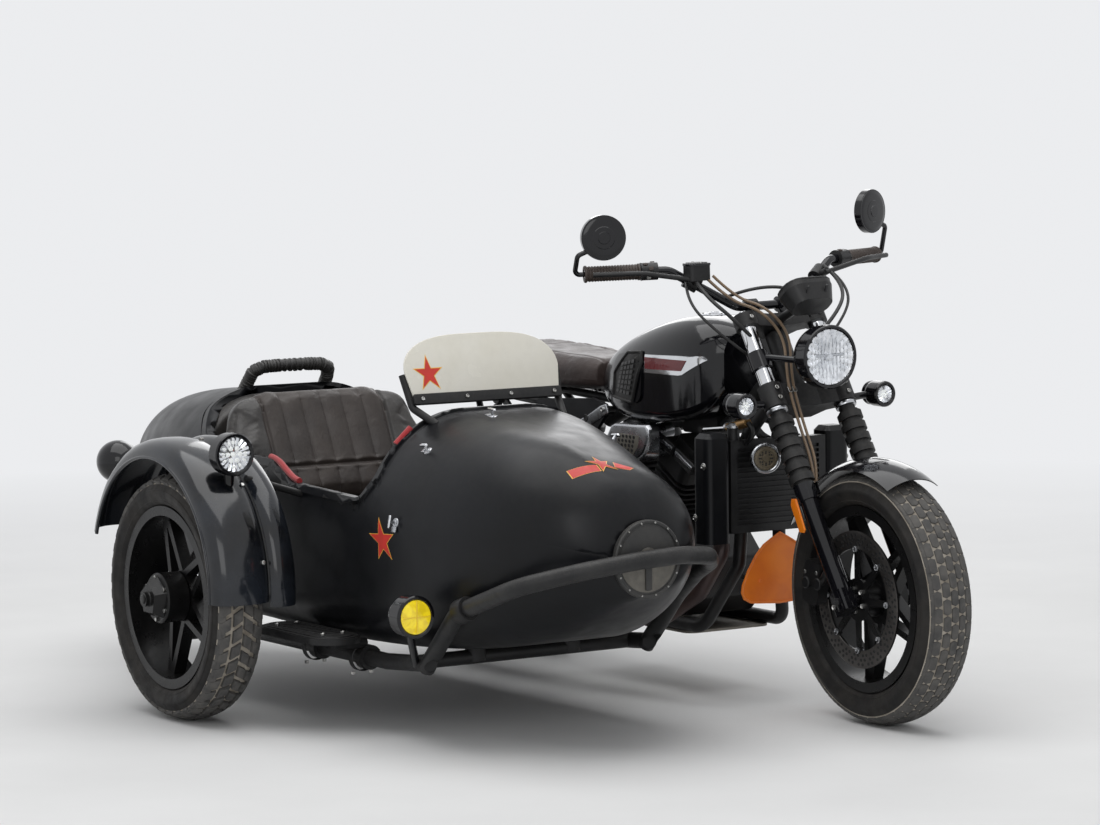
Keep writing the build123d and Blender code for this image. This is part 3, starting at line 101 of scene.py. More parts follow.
RAKE = radians(31.5)
STEM = Vector((-sin(RAKE), 0, cos(RAKE)))
LEAD = Vector((cos(RAKE), 0, sin(RAKE)))
FRONT_AXLE = bike(WHEELBASE, 0, 297)
REAR_AXLE = bike(0, 0, 295)
CAR_AXLE = bike(CAR_LEAD, -CAR_TRACK, 294)
FORK_ORIGIN = FRONT_AXLE - LEAD * (35 * MM)
STEER_AT_REST = radians(-2.5)
STEERED = (
    Matrix.Translation(FORK_ORIGIN) @ Matrix.Rotation(STEER_AT_REST, 4, STEM) @ Matrix.Translation(-FORK_ORIGIN)
)


def fork(lead: float, left: float, height: float) -> Vector:
    """Return a point by millimetres ahead of the steering axis, to the left, and along the axis."""
    return FORK_ORIGIN + (LEAD * lead + LEFT * left + STEM * height) * MM


@dataclass(frozen=True)
class Datum:
    """A place with three directions."""

    origin: Vector
    x: Vector
    y: Vector
    z: Vector

    def point(self, x: float, y: float, z: float = 0.0) -> Vector:
        """Return the point at millimetres along the three directions."""
        return self.origin + (self.x * x + self.y * y + self.z * z) * MM

    def moved(self, x: float, y: float, z: float = 0.0) -> "Datum":
        """Return a datum with the same directions at another place."""
        return Datum(self.point(x, y, z), self.x, self.y, self.z)


def datum(origin: Vector, z: Vector, x: Vector) -> Datum:
    """Return a datum from its normal and a direction near its x.

    Args:
        origin: the place.
        z: the normal.
        x: a direction that is made square to the normal.

    Returns:
        The datum.
    """
    normal = z.normalized()
    across = (x - normal * x.dot(normal)).normalized()
    return Datum(origin, across, normal.cross(across), normal)


class Nodes:
    """Writes one procedural material on object coordinates."""

    def __init__(self, name: str) -> None:
        """Start an empty material.

        Args:
            name: its name.
        """
        self.material = bpy.data.materials.new(name)
        self.material.use_nodes = True
        self.tree = self.material.node_tree
        self.tree.nodes.clear()
        self.output = self.add("ShaderNodeOutputMaterial")
        self.place = self.add("ShaderNodeTexCoord").outputs["Object"]

    def add(self, kind: str, **settings: object) -> bpy.types.Node:
        """Add a node and set its properties.

        Args:
            kind: the node's type.
            settings: its properties by name.

        Returns:
            The node.
        """
        node = self.tree.nodes.new(kind)
        for key, value in settings.items():
            setattr(node, key, value)
        return node

    def link(self, source: bpy.types.NodeSocket, target: bpy.types.NodeSocket) -> None:
        """Join two sockets."""
        self.tree.links.new(source, target)

    def feed(self, socket: bpy.types.NodeSocket, value: object) -> None:
        """Give a socket a link or a value.

        Args:
            socket: the socket that takes it.
            value: another socket, a colour or a number.
        """
        if isinstance(value, bpy.types.NodeSocket):
            self.link(value, socket)
        elif isinstance(value, tuple) and len(value) == 3 and socket.type == "RGBA":
            socket.default_value = (*value, 1.0)
        else:
            socket.default_value = value

    def noise(self, scale: float, detail: float = 4.0, warp: float = 0.0, place: object = None) -> object:
        """Add noise.

        Args:
            scale: cells per metre.
            detail: how many finer layers it has.
            warp: how far it is bent.
            place: coordinates other than the piece's own.

        Returns:
            Its value's socket.
        """
        node = self.add("ShaderNodeTexNoise")
        self.link(place or self.place, node.inputs["Vector"])
        node.inputs["Scale"].default_value = scale
        node.inputs["Detail"].default_value = detail
        node.inputs["Distortion"].default_value = warp
        return node.outputs["Fac"]

    def cells(self, scale: float, feature: str = "F1") -> object:
        """Add cells.

        Args:
            scale: cells per metre.
            feature: what is measured, the cell's middle or its edge.

        Returns:
            The distance's socket.
        """
        node = self.add("ShaderNodeTexVoronoi", feature=feature)
        self.link(self.place, node.inputs["Vector"])
        node.inputs["Scale"].default_value = scale
        return node.outputs["Distance"]

    def stretched(self, scale: tuple[float, float, float]) -> object:
        """Stretch the object coordinates.

        Args:
            scale: factors along the three axes.

        Returns:
            The stretched coordinates' socket.
        """
        node = self.add("ShaderNodeMapping")
        self.link(self.place, node.inputs["Vector"])
        node.inputs["Scale"].default_value = scale
        return node.outputs["Vector"]

    def remap(self, value: object, low: float, high: float, to_low: float = 0.0, to_high: float = 1.0) -> object:
        """Map a value from one range to another, and clamp it.

        Args:
            value: the value's socket.
            low: start of its range.
            high: end of its range.
            to_low: result at the start.
            to_high: result at the end.

        Returns:
            The result's socket.
        """
        node = self.add("ShaderNodeMapRange")
        self.feed(node.inputs["Value"], value)
        for key, number in (("From Min", low), ("From Max", high), ("To Min", to_low), ("To Max", to_high)):
            node.inputs[key].default_value = number
        return node.outputs["Result"]

    def calc(self, operation: str, first: object, second: object) -> object:
        """Add one calculation.

        Args:
            operation: Blender's name for it.
            first: a socket or a number.
            second: a socket or a number.

        Returns:
            The result's socket.
        """
        node = self.add("ShaderNodeMath", operation=operation)
        self.feed(node.inputs[0], first)
        self.feed(node.inputs[1], second)
        return node.outputs[0]

    def mix(self, share: object, first: object, second: object) -> object:
        """Mix two colours.

        Args:
            share: the second colour's share.
            first: a colour or its socket.
            second: a colour or its socket.

        Returns:
            The mixed colour's socket.
        """
        node = self.add("ShaderNodeMix", data_type="RGBA")
        self.feed(node.inputs[0], share)
        self.feed(node.inputs[6], first)
        self.feed(node.inputs[7], second)
        return node.outputs[2]

    def bump(self, height: object, depth: float, before: object = None) -> object:
        """Turn a height into relief.

        Args:
            height: the height's socket, from 0 to 1.
            depth: millimetres of relief.
            before: a normal that the relief is added to.

        Returns:
            The normal's socket.
        """
        node = self.add("ShaderNodeBump")
        node.inputs["Strength"].default_value = 1.0
        node.inputs["Distance"].default_value = depth * MM
        self.link(height, node.inputs["Height"])
        if before is not None:
            self.link(before, node.inputs["Normal"])
        return node.outputs["Normal"]

    def shade(self, **inputs: object) -> bpy.types.Material:
        """Finish the material with one physical shader.

        Args:
            inputs: the shader's sockets by name, with a low line for each space.

        Returns:
            The material.
        """
        shader = self.add("ShaderNodeBsdfPrincipled")
        for key, value in inputs.items():
            self.feed(shader.inputs[key.replace("_", " ")], value)
        self.link(shader.outputs[0], self.output.inputs["Surface"])
        return self.material


class Grain(Enum):
    """Kinds of fine relief."""

    PAINT = "paint"
    POWDER = "powder"
    CAST = "cast"
    BRUSHED = "brushed"
    LEATHER = "leather"
    RUBBER = "rubber"
    FIBRE = "fibre"


@dataclass(frozen=True)
class Finish:
    """One surface: its two colours, gloss, relief and wear. Patch is their scale, per metre."""

    name: str
    base: Colour
    shade: Colour
    roughness: float
    grain: Grain = Grain.PAINT
    metallic: float = 0.0
    coat: float = 0.0
    sheen: float = 0.0
    dust: float = 0.0
    patch: float = 9.0
    glow: float = 0.0
    specular: float = 0.5


DUST: Colour = (0.23, 0.2, 0.165)
DUST_DULLS = 0.35
SMEAR_SCALE = 3.1
SPECKLE_SCALE = 14.0
COAT_ROUGHNESS = 0.06


def relief(nodes: Nodes, grain: Grain) -> object:
    """Add a kind of fine relief.

    Args:
        nodes: the material.
        grain: the kind.

    Returns:
        The normal's socket.
    """
    if grain is Grain.PAINT:
        return nodes.bump(nodes.noise(55.0, 2.0), 0.12, nodes.bump(nodes.noise(900.0, 2.0), 0.012))
    if grain is Grain.POWDER:
        return nodes.bump(nodes.noise(700.0, 3.0), 0.1, nodes.bump(nodes.noise(90.0, 2.0), 0.2))
    if grain is Grain.CAST:
        return nodes.bump(nodes.noise(420.0, 5.0), 0.22)
    if grain is Grain.BRUSHED:
        return nodes.bump(nodes.noise(1.0, 3.0, place=nodes.stretched((60.0, 1400.0, 1400.0))), 0.03)
    if grain is Grain.LEATHER:
        pores = nodes.bump(nodes.cells(520.0, "DISTANCE_TO_EDGE"), 0.22)
        creases = nodes.bump(nodes.noise(70.0, 6.0, 0.8), 0.9, pores)
        return nodes.bump(nodes.noise(16.0, 3.0, 0.4), 2.0, creases)
    if grain is Grain.RUBBER:
        return nodes.bump(nodes.noise(650.0, 4.0), 0.12, nodes.bump(nodes.noise(60.0, 3.0), 0.35))
    return nodes.bump(nodes.noise(1.0, 4.0, place=nodes.stretched((900.0, 220.0, 900.0))), 0.25)


def make_material(finish: Finish) -> bpy.types.Material:
    """Make the material of a finish: colour patches, dust from above, uneven gloss and relief.

    Args:
        finish: the finish.

    Returns:
        The material.
    """
    nodes = Nodes(finish.name)
    patches = nodes.remap(nodes.noise(finish.patch, 5.0, 0.3), 0.35, 0.68)
    colour = nodes.mix(patches, finish.base, finish.shade)
    smears = nodes.noise(finish.patch * SMEAR_SCALE, 6.0)
    gloss = nodes.remap(smears, 0.3, 0.7, max(0.03, finish.roughness * 0.82), finish.roughness * 1.2)
    if finish.dust:
        upward = nodes.add("ShaderNodeSeparateXYZ")
        nodes.link(nodes.add("ShaderNodeNewGeometry").outputs["Normal"], upward.inputs[0])
        lying = nodes.remap(upward.outputs["Z"], -0.1, 0.95)
        speckle = nodes.remap(nodes.noise(finish.patch * SPECKLE_SCALE, 8.0), 0.42, 0.75)
        share = nodes.calc("MULTIPLY", nodes.calc("MULTIPLY", lying, speckle), finish.dust)
        colour = nodes.mix(share, colour, DUST)
        gloss = nodes.calc("ADD", gloss, nodes.calc("MULTIPLY", share, DUST_DULLS))
    inputs = {
        "Base_Color": colour,
        "Roughness": gloss,
        "Metallic": finish.metallic,
        "Normal": relief(nodes, finish.grain),
        "Coat_Weight": finish.coat,
        "Coat_Roughness": COAT_ROUGHNESS,
        "Sheen_Weight": finish.sheen,
        "Specular_IOR_Level": finish.specular,
    }
    # On lamp parts the glow is their own light; on the amber reflector it is painted light.
    if finish.glow:
        inputs["Emission_Color"] = finish.base
        inputs["Emission_Strength"] = finish.glow
    return nodes.shade(**inputs)


GLOSS_BLACK = Finish(
    "gloss_black_paint", (0.003, 0.003, 0.004), (0.005, 0.005, 0.007), 0.12, coat=0.3, dust=0.02, specular=0.3,
)
FENDER_BLACK = Finish(
    "fender_paint", (0.004, 0.0045, 0.006), (0.014, 0.017, 0.023), 0.15,
    coat=0.35, dust=0.05, patch=7.0, specular=0.35,
)
BODY_BLACK = Finish(
    "satin_black_paint", (0.004, 0.0042, 0.005), (0.006, 0.0066, 0.0085), 0.34, dust=0.02, patch=5.0, specular=0.24,
)
TUBE_BLACK = Finish(
    "powder_black", (0.010, 0.010, 0.0105), (0.017, 0.017, 0.0175), 0.45, Grain.POWDER, dust=0.08, specular=0.3,
)
WHEEL_BLACK = Finish(
    "cast_black", (0.0045, 0.0045, 0.005), (0.008, 0.0078, 0.0078), 0.3, Grain.CAST, dust=0.04, specular=0.28,
)
ENGINE_BLACK = Finish(
    "engine_black", (0.006, 0.006, 0.0065), (0.013, 0.013, 0.0135), 0.38, Grain.CAST, dust=0.08, specular=0.35,
)
PLASTIC_BLACK = Finish(
    "moulded_black", (0.009, 0.009, 0.0095), (0.016, 0.016, 0.0165), 0.42, Grain.POWDER, dust=0.06, specular=0.35,
)
RUBBER_BLACK = Finish(
    "gaiter_rubber", (0.008, 0.008, 0.008), (0.017, 0.0165, 0.016), 0.5, Grain.RUBBER, dust=0.12, specular=0.35,
)
TYRE_SIDE = Finish(
    "tyre_sidewall", (0.011, 0.0105, 0.0105), (0.025, 0.0225, 0.020), 0.7, Grain.RUBBER,
    dust=0.08, patch=14, specular=0.3,
)
TYRE_BLOCK = Finish(
    "tyre_tread", (0.068, 0.067, 0.066), (0.115, 0.110, 0.103), 0.8, Grain.RUBBER,
    dust=0.12, patch=36, specular=0.3,
)
TYRE_FLOOR = Finish("tyre_groove", (0.44, 0.40, 0.34), (0.24, 0.21, 0.17), 0.95, Grain.RUBBER, patch=26)
CHROME = Finish("chrome_plate", (0.72, 0.73, 0.75), (0.6, 0.61, 0.63), 0.09, metallic=1.0)
SILVER = Finish(
    "brushed_silver", (0.52, 0.53, 0.55), (0.4, 0.41, 0.43), 0.27, Grain.BRUSHED, metallic=1.0, dust=0.05,
)
DISC_STEEL = Finish(
    "disc_steel", (0.075, 0.07, 0.068), (0.12, 0.112, 0.105), 0.36, Grain.BRUSHED, metallic=0.85,
)
SCREW = Finish("zinc_screw", (0.45, 0.45, 0.44), (0.3, 0.29, 0.27), 0.3, Grain.CAST, metallic=1.0)
BRONZE = Finish("horn_mesh", (0.2, 0.165, 0.11), (0.12, 0.1, 0.07), 0.42, Grain.CAST, metallic=0.6)
PAD_RUBBER = Finish(
    "knee_pad_rubber", (0.030, 0.030, 0.030), (0.045, 0.044, 0.043), 0.4, Grain.RUBBER, patch=40,
)
BRASS = Finish("brass_tube", (0.36, 0.21, 0.075), (0.22, 0.13, 0.06), 0.34, Grain.BRUSHED, metallic=0.9)
ORANGE = Finish(
    "guard_orange", (0.86, 0.22, 0.014), (0.74, 0.165, 0.014), 0.4, Grain.POWDER, dust=0.1, patch=16,
)
HEADER = Finish(
    "burnt_header", (0.042, 0.030, 0.031), (0.068, 0.042, 0.036), 0.4, Grain.CAST, metallic=0.45, dust=0.2,
)
SKID_GREY = Finish(
    "worn_plate", (0.13, 0.12, 0.10), (0.2, 0.19, 0.165), 0.55, Grain.CAST, metallic=0.5, dust=0.3,
)
LEATHER = Finish(
    "brown_leather", (0.024, 0.018, 0.0155), (0.042, 0.032, 0.027), 0.46, Grain.LEATHER,
    sheen=0.08, dust=0.06, specular=0.4,
)
DARK_LEATHER = Finish(
    "black_leather", (0.014, 0.0125, 0.0115), (0.03, 0.026, 0.0235), 0.4, Grain.LEATHER, sheen=0.1, dust=0.08,
)
SADDLE_LEATHER = Finish(
    "saddle_leather", (0.026, 0.0165, 0.0145), (0.042, 0.0275, 0.0235), 0.46, Grain.LEATHER,
    sheen=0.1, specular=0.4,
)
WRAP = Finish("leather_wrap", (0.013, 0.0125, 0.012), (0.028, 0.027, 0.025), 0.42, Grain.LEATHER, dust=0.1)
GRIP = Finish("grip_rubber", (0.035, 0.024, 0.019), (0.05, 0.036, 0.029), 0.6, Grain.RUBBER)
RED_PAINT = Finish("star_red", (0.62, 0.028, 0.018), (0.5, 0.03, 0.02), 0.36, dust=0.06, patch=30)
YELLOW_PAINT = Finish("star_edge", (0.85, 0.48, 0.06), (0.75, 0.42, 0.07), 0.36, dust=0.05, patch=30)
PLATE_RED = Finish("badge_red", (0.17, 0.006, 0.010), (0.12, 0.005, 0.009), 0.25, coat=0.5)
LINING_RED = Finish("red_lining", (0.42, 0.018, 0.022), (0.3, 0.014, 0.018), 0.7, Grain.FIBRE, sheen=0.3)
CREAM = Finish("cream_pane", (0.68, 0.655, 0.57), (0.74, 0.72, 0.655), 0.24, coat=0.35, dust=0.1, patch=4.0)
# The amber reflector is no lamp: its glow is painted light on top of its own amber colour.
AMBER_PAINTED_GLOW = Finish("amber_reflector_painted_glow", (0.86, 0.235, 0.012), (0.72, 0.17, 0.01), 0.16, coat=0.6, glow=0.12)
YELLOW_LENS_RIB = Finish("yellow_rib", (0.85, 0.62, 0.03), (0.78, 0.55, 0.03), 0.2, coat=0.4, glow=0.1)
BULB = Finish("lamp_core", (0.92, 0.93, 0.9), (0.8, 0.81, 0.8), 0.2, glow=0.35)
CORD_BROWN = Finish("hose_braid", (0.21, 0.145, 0.088), (0.14, 0.095, 0.06), 0.4, Grain.FIBRE)
CORD_BLACK = Finish("hose_black", (0.012, 0.012, 0.012), (0.022, 0.022, 0.022), 0.5, Grain.RUBBER)
COVER_GREY = Finish(
    "nose_disc", (0.022, 0.022, 0.022), (0.034, 0.033, 0.031), 0.5, Grain.CAST, dust=0.2, patch=22,
)
COVER_PALE = Finish(
    "nose_disc_pale", (0.15, 0.14, 0.12), (0.1, 0.094, 0.083), 0.5, Grain.CAST, metallic=0.3, patch=40,
)
BUMPER_RUBBER = Finish(
    "bumper_rubber", (0.010, 0.0102, 0.011), (0.022, 0.022, 0.022), 0.45, Grain.RUBBER,
    dust=0.16, patch=18, specular=0.35,
)
BELT = Finish("belt_rubber", (0.014, 0.014, 0.014), (0.03, 0.028, 0.026), 0.7, Grain.RUBBER, dust=0.15)


def clear_glass() -> bpy.types.Material:
    """Make the clear glass of the lamps' lenses.

    Returns:
        The material.
    """
    nodes = Nodes("clear_lens")
    normal = nodes.bump(nodes.noise(60.0, 2.0), 0.02)
    veil = nodes.remap(nodes.noise(14.0), 0.3, 0.7, 0.0, 0.25)
    tint = nodes.mix(veil, (0.97, 0.98, 0.99), (0.9, 0.92, 0.94))
    return nodes.shade(Base_Color=tint, Roughness=0.02, Transmission_Weight=1.0, IOR=1.35, Normal=normal)


def mirror_bowl() -> bpy.types.Material:
    """Make the bright metal behind a lamp's glass, with pressed flutes.

    Returns:
        The material.
    """
    nodes = Nodes("lamp_bowl")
    flutes = nodes.bump(nodes.cells(95.0), 0.12, nodes.bump(nodes.noise(40.0, 2.0), 0.12))
    shades = nodes.mix(nodes.remap(nodes.noise(38.0, 2.0), 0.42, 0.62), (0.95, 0.95, 0.96), (0.66, 0.67, 0.69))
    return nodes.shade(Base_Color=shades, Roughness=0.1, Metallic=1.0, Normal=flutes)


def yellow_glass() -> bpy.types.Material:
    """Make the fog lamp's pressed yellow glass.

    Returns:
        The material.
    """
    nodes = Nodes("yellow_lens")
    shades = nodes.mix(nodes.remap(nodes.noise(48.0, 2.0, 0.6), 0.38, 0.62), (0.95, 0.80, 0.02), (0.70, 0.52, 0.01))
    normal = nodes.bump(nodes.cells(140.0), 0.5, nodes.bump(nodes.noise(50.0), 0.6))
    return nodes.shade(
        Base_Color=shades, Roughness=0.12, Transmission_Weight=0.25, Coat_Weight=0.6, Normal=normal,
        Emission_Color=(0.95, 0.78, 0.02, 1.0), Emission_Strength=0.22,
    )


class Materials:
    """Keeps one material for each finish."""

    def __init__(self) -> None:
        """Start with the lamps' own materials."""
        self.made: dict[str, bpy.types.Material] = {}
        self.clear = clear_glass()
        self.yellow = yellow_glass()
        self.bowl = mirror_bowl()

    def of(self, finish: "Finish | bpy.types.Material") -> bpy.types.Material:
        """Make the material of a finish at its first use.

        Args:
            finish: a finish, or a material that is passed on as it is.

        Returns:
            The material.
        """
        if not isinstance(finish, Finish):
            return finish
        if finish.name not in self.made:
            self.made[finish.name] = make_material(finish)
        return self.made[finish.name]


Corners = list[tuple[float, float]]
Outline = Sequence[tuple[float, float]]
Surface = Finish | bpy.types.Material
Part = bmesh.types.BMesh


def prism(place: Datum, outline: Outline, height: float, round_by: float = 0.0, draft: float = 1.0) -> Part:
    """Raise a closed outline from a datum.

    Args:
        place: the datum that the outline lies on.
        outline: corners in millimetres.
        height: millimetres along the normal.
        round_by: how far the raised edges are rounded.
        draft: size of the raised face against the foot.

    Returns:
        A closed mesh.
    """
    part = bmesh.new()
    foot = part.faces.new([part.verts.new(place.point(x, y)) for x, y in outline])
    raised = bmesh.ops.extrude_face_region(part, geom=[foot])["geom"]
    top = [item for item in raised if isinstance(item, bmesh.types.BMVert)]
    bmesh.ops.translate(part, verts=top, vec=place.z * (height * MM))
    if draft != 1.0:
        middle = sum((vert.co for vert in top), Vector()) / len(top)
        bmesh.ops.scale(part, verts=top, vec=(draft,) * 3, space=Matrix.Translation(-middle))
    if round_by:
        held = set(top)
        edges = [edge for edge in part.edges if edge.verts[0] in held and edge.verts[1] in held]
        bmesh.ops.bevel(
            part, geom=edges, offset=round_by * MM, segments=3, profile=0.5, affect="EDGES", material=-1,
        )
    return part


def turned(place: Datum, profile: Outline, steps: int = 48) -> Part:
    """Spin a profile of radius and height about the datum's normal.

    Args:
        place: the datum whose normal is the axis.
        profile: points of radius and height in millimetres. A closed ring repeats its first point.
        steps: faces round the axis.

    Returns:
        A mesh whose poles are closed.
    """
    part = bmesh.new()
    verts = [part.verts.new(place.point(radius, 0, height)) for radius, height in profile]
    for first, second in zip(verts, verts[1:]):
        part.edges.new((first, second))
    bmesh.ops.spin(
        part, geom=part.verts[:] + part.edges[:], cent=place.origin, axis=place.z,
        angle=tau, steps=steps, use_merge=True,
    )
    bmesh.ops.remove_doubles(part, verts=part.verts, dist=1e-6)
    return part


def curved(points: Iterable[Vector], radius: float, sides: int = 10, smooth: bool = True) -> Part:
    """Run a round tube along points.

    Args:
        points: points in metres that the line follows.
        radius: millimetres.
        sides: faces round the tube.
        smooth: whether the line rounds its corners.

    Returns:
        A closed mesh.
    """
    line = bpy.data.curves.new("line", "CURVE")
    line.dimensions = "3D"
    line.bevel_depth = radius * MM
    line.bevel_resolution = max(1, sides // 4)
    line.use_fill_caps = True
    line.resolution_u = 8
    spline = line.splines.new("NURBS" if smooth else "POLY")
    route = list(points)
    spline.points.add(len(route) - 1)
    for point, place in zip(spline.points, route):
        point.co = (*place, 1.0)
    if smooth:
        spline.order_u = 3
        spline.use_endpoint_u = True
    holder = bpy.data.objects.new("line", line)
    mesh = bpy.data.meshes.new_from_object(holder)
    part = bmesh.new()
    part.from_mesh(mesh)
    bmesh.ops.remove_doubles(part, verts=part.verts, dist=1e-6)
    bpy.data.objects.remove(holder)
    bpy.data.curves.remove(line)
    bpy.data.meshes.remove(mesh)
    return part


def bolt(place: Datum, radius: float, height: float = 4.0, hexagon: bool = False) -> Part:
    """Make a round screw head with a recess, or a hexagonal head with a flat end.

    Args:
        place: the datum that the head stands on.
        radius: millimetres.
        height: millimetres.
        hexagon: whether the head is hexagonal.

    Returns:
        The head.
    """
    part = bmesh.new()
    spot = Matrix.Translation(place.origin) @ Matrix((place.x, place.y, place.z)).transposed().to_4x4()
    bmesh.ops.create_circle(part, cap_ends=True, segments=6 if hexagon else 18, radius=radius * MM, matrix=spot)
    face = part.faces[:][0]
    raised = bmesh.ops.extrude_face_region(part, geom=[face])["geom"]
    top = [item for item in raised if isinstance(item, bmesh.types.BMFace)][0]
    bmesh.ops.translate(part, verts=top.verts, vec=place.z * (height * MM))
    bmesh.ops.inset_region(part, faces=[top], thickness=radius * 0.16 * MM, depth=radius * 0.1 * MM)
    bmesh.ops.inset_region(part, faces=[top], thickness=radius * 0.34 * MM)
    if not hexagon:
        bmesh.ops.translate(part, verts=top.verts, vec=place.z * (-0.5 * height * MM))
    return part


def spread(part: Part, place: Datum, count: int) -> Part:
    """Repeat a part round the datum's normal.

    Args:
        part: the first of them.
        place: the datum whose normal is the axis.
        count: how many there are.

    Returns:
        The part, with its copies in it.
    """
    bmesh.ops.spin(
        part, geom=part.verts[:] + part.edges[:] + part.faces[:], cent=place.origin, axis=place.z,
        angle=tau * (count - 1) / count, steps=count - 1, use_duplicate=True,
    )
    return part


def arc(radius: float, start: float, end: float, steps: int) -> Corners:
    """Return points of an arc about the middle."""
    angles = [start + (end - start) * step / steps for step in range(steps + 1)]
    return [(radius * cos(angle), radius * sin(angle)) for angle in angles]


def box_outline(width: float, height: float, corner: float = 0.0) -> Corners:
    """Return the corners of a rectangle about the middle.

    Args:
        width: millimetres.
        height: millimetres.
        corner: radius by which the corners are rounded, if any.

    Returns:
        The outline.
    """
    if not corner:
        return [(sx * width / 2, sy * height / 2) for sx, sy in ((-1, -1), (1, -1), (1, 1), (-1, 1))]
    outline = []
    for turn, (sx, sy) in enumerate(((1, 1), (-1, 1), (-1, -1), (1, -1))):
        for x, y in arc(corner, pi / 2 * turn, pi / 2 * (turn + 1), 4):
            outline.append((sx * (width / 2 - corner) + x, sy * (height / 2 - corner) + y))
    return outline


class Shape:
    """Gathers parts into one piece, with a finish for each part."""

    def __init__(self, palette: Materials, steered: bool = False) -> None:
        """Start an empty piece.

        Args:
            palette: the materials.
            steered: whether it is built with the fork straight and turned to rest.
        """
        self.palette = palette
        self.steered = steered
        self.mesh = bmesh.new()
        self.finishes: list[Surface] = []

    def add(self, part: Part, *finishes: Surface, recalculate: bool = True) -> None:
        """Take in a part.

        Args:
            part: the part, which is freed.
            finishes: what its faces' material numbers count through.
            recalculate: whether its normals are made to point outwards.
        """
        for finish in finishes:
            if finish not in self.finishes:
                self.finishes.append(finish)
        numbers = [self.finishes.index(finish) for finish in finishes]
        for face in part.faces:
            face.material_index = numbers[min(face.material_index, len(numbers) - 1)]
            face.smooth = True
        if recalculate:
            bmesh.ops.recalc_face_normals(part, faces=part.faces[:])
        held = bpy.data.meshes.new("part")
        part.to_mesh(held)
        self.mesh.from_mesh(held)
        bpy.data.meshes.remove(held)
        part.free()

    def build(
        self, name: str, slot: str, replaces: Sequence[str] = (), body: Body = Body.CHASSIS, crease: float = 34.0
    ) -> bpy.types.Object:
        """Make the object and ride it on its body.

        Args:
            name: the piece's name.
            slot: not used.
            replaces: the solids that it stands for.
            body: the body that it moves with.
            crease: degrees above which an edge is sharp.

        Returns:
            The object.
        """
        if self.steered:
            bmesh.ops.transform(self.mesh, matrix=STEERED, verts=self.mesh.verts)
        limit = radians(crease)
        for edge in self.mesh.edges:
            edge.smooth = edge.calc_face_angle(0.0) < limit
        data = bpy.data.meshes.new(name)
        self.mesh.to_mesh(data)
        self.mesh.free()
        for finish in self.finishes:
            data.materials.append(self.palette.of(finish))
        piece = bpy.data.objects.new(name, data)
        bpy.context.scene.collection.objects.link(piece)
        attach(piece, body.value)
        if replaces:
            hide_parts(*replaces)
        log.info("%s: %d faces on %s", name, len(data.polygons), body.value)
        return piece


def shapes(palette: Materials, count: int) -> list[Shape]:
    """Start several pieces."""
    return [Shape(palette) for _ in range(count)]


SET_BACK = 0.12


class Skin:
    """The surface of a solid, onto which trim is laid."""

    def __init__(self, node: bpy.types.Object) -> None:
        """Take the surface of a solid."""
        verts, faces = node.data.vertices, node.data.polygons
        self.tree = BVHTree.FromPolygons([vert.co.copy() for vert in verts], [tuple(face.vertices) for face in faces])

    def drop(self, point: Vector, along: Vector, reach: float = 0.25) -> Vector:
        """Find where a line from outside meets the surface.

        Args:
            point: a place near the surface.
            along: the line's direction.
            reach: metres that the line runs.

        Returns:
            The place met, or else the nearest one.
        """
        direction = along.normalized()
        spot = self.tree.ray_cast(point - direction * SET_BACK, direction, reach)[0]
        return self.tree.find_nearest(point)[0] if spot is None else spot

    def patch(self, corners: Sequence[Vector], along: Vector, lift: float, thickness: float, cuts: int = 5) -> Part:
        """Lay a flat outline on the surface as a thin closed layer.

        Args:
            corners: the outline in metres.
            along: the direction in which it is laid.
            lift: millimetres of its outer face above the surface.
            thickness: its thickness in millimetres.
            cuts: how finely it is divided so that it follows the surface.

        Returns:
            A closed mesh.
        """
        part = bmesh.new()
        rim = [part.verts.new(corner) for corner in corners]
        middle = part.verts.new(sum(corners, Vector()) / len(corners))
        for first, second in zip(rim, [*rim[1:], rim[0]]):
            part.faces.new((first, second, middle))
        bmesh.ops.subdivide_edges(part, edges=part.edges[:], cuts=cuts, use_grid_fill=True)
        bmesh.ops.triangulate(part, faces=part.faces[:])
        direction = along.normalized()
        for vert in part.verts:
            vert.co = self.drop(vert.co, direction) - direction * ((lift - thickness) * MM)
        bmesh.ops.recalc_face_normals(part, faces=part.faces[:])
        raised = bmesh.ops.extrude_face_region(part, geom=part.faces[:])["geom"]
        top = [item for item in raised if isinstance(item, bmesh.types.BMVert)]
        bmesh.ops.translate(part, verts=top, vec=-direction * (thickness * MM))
        return part


PALE = (0.95, 0.96, 0.98, 1.0)
PALE_STRENGTH = 0.88


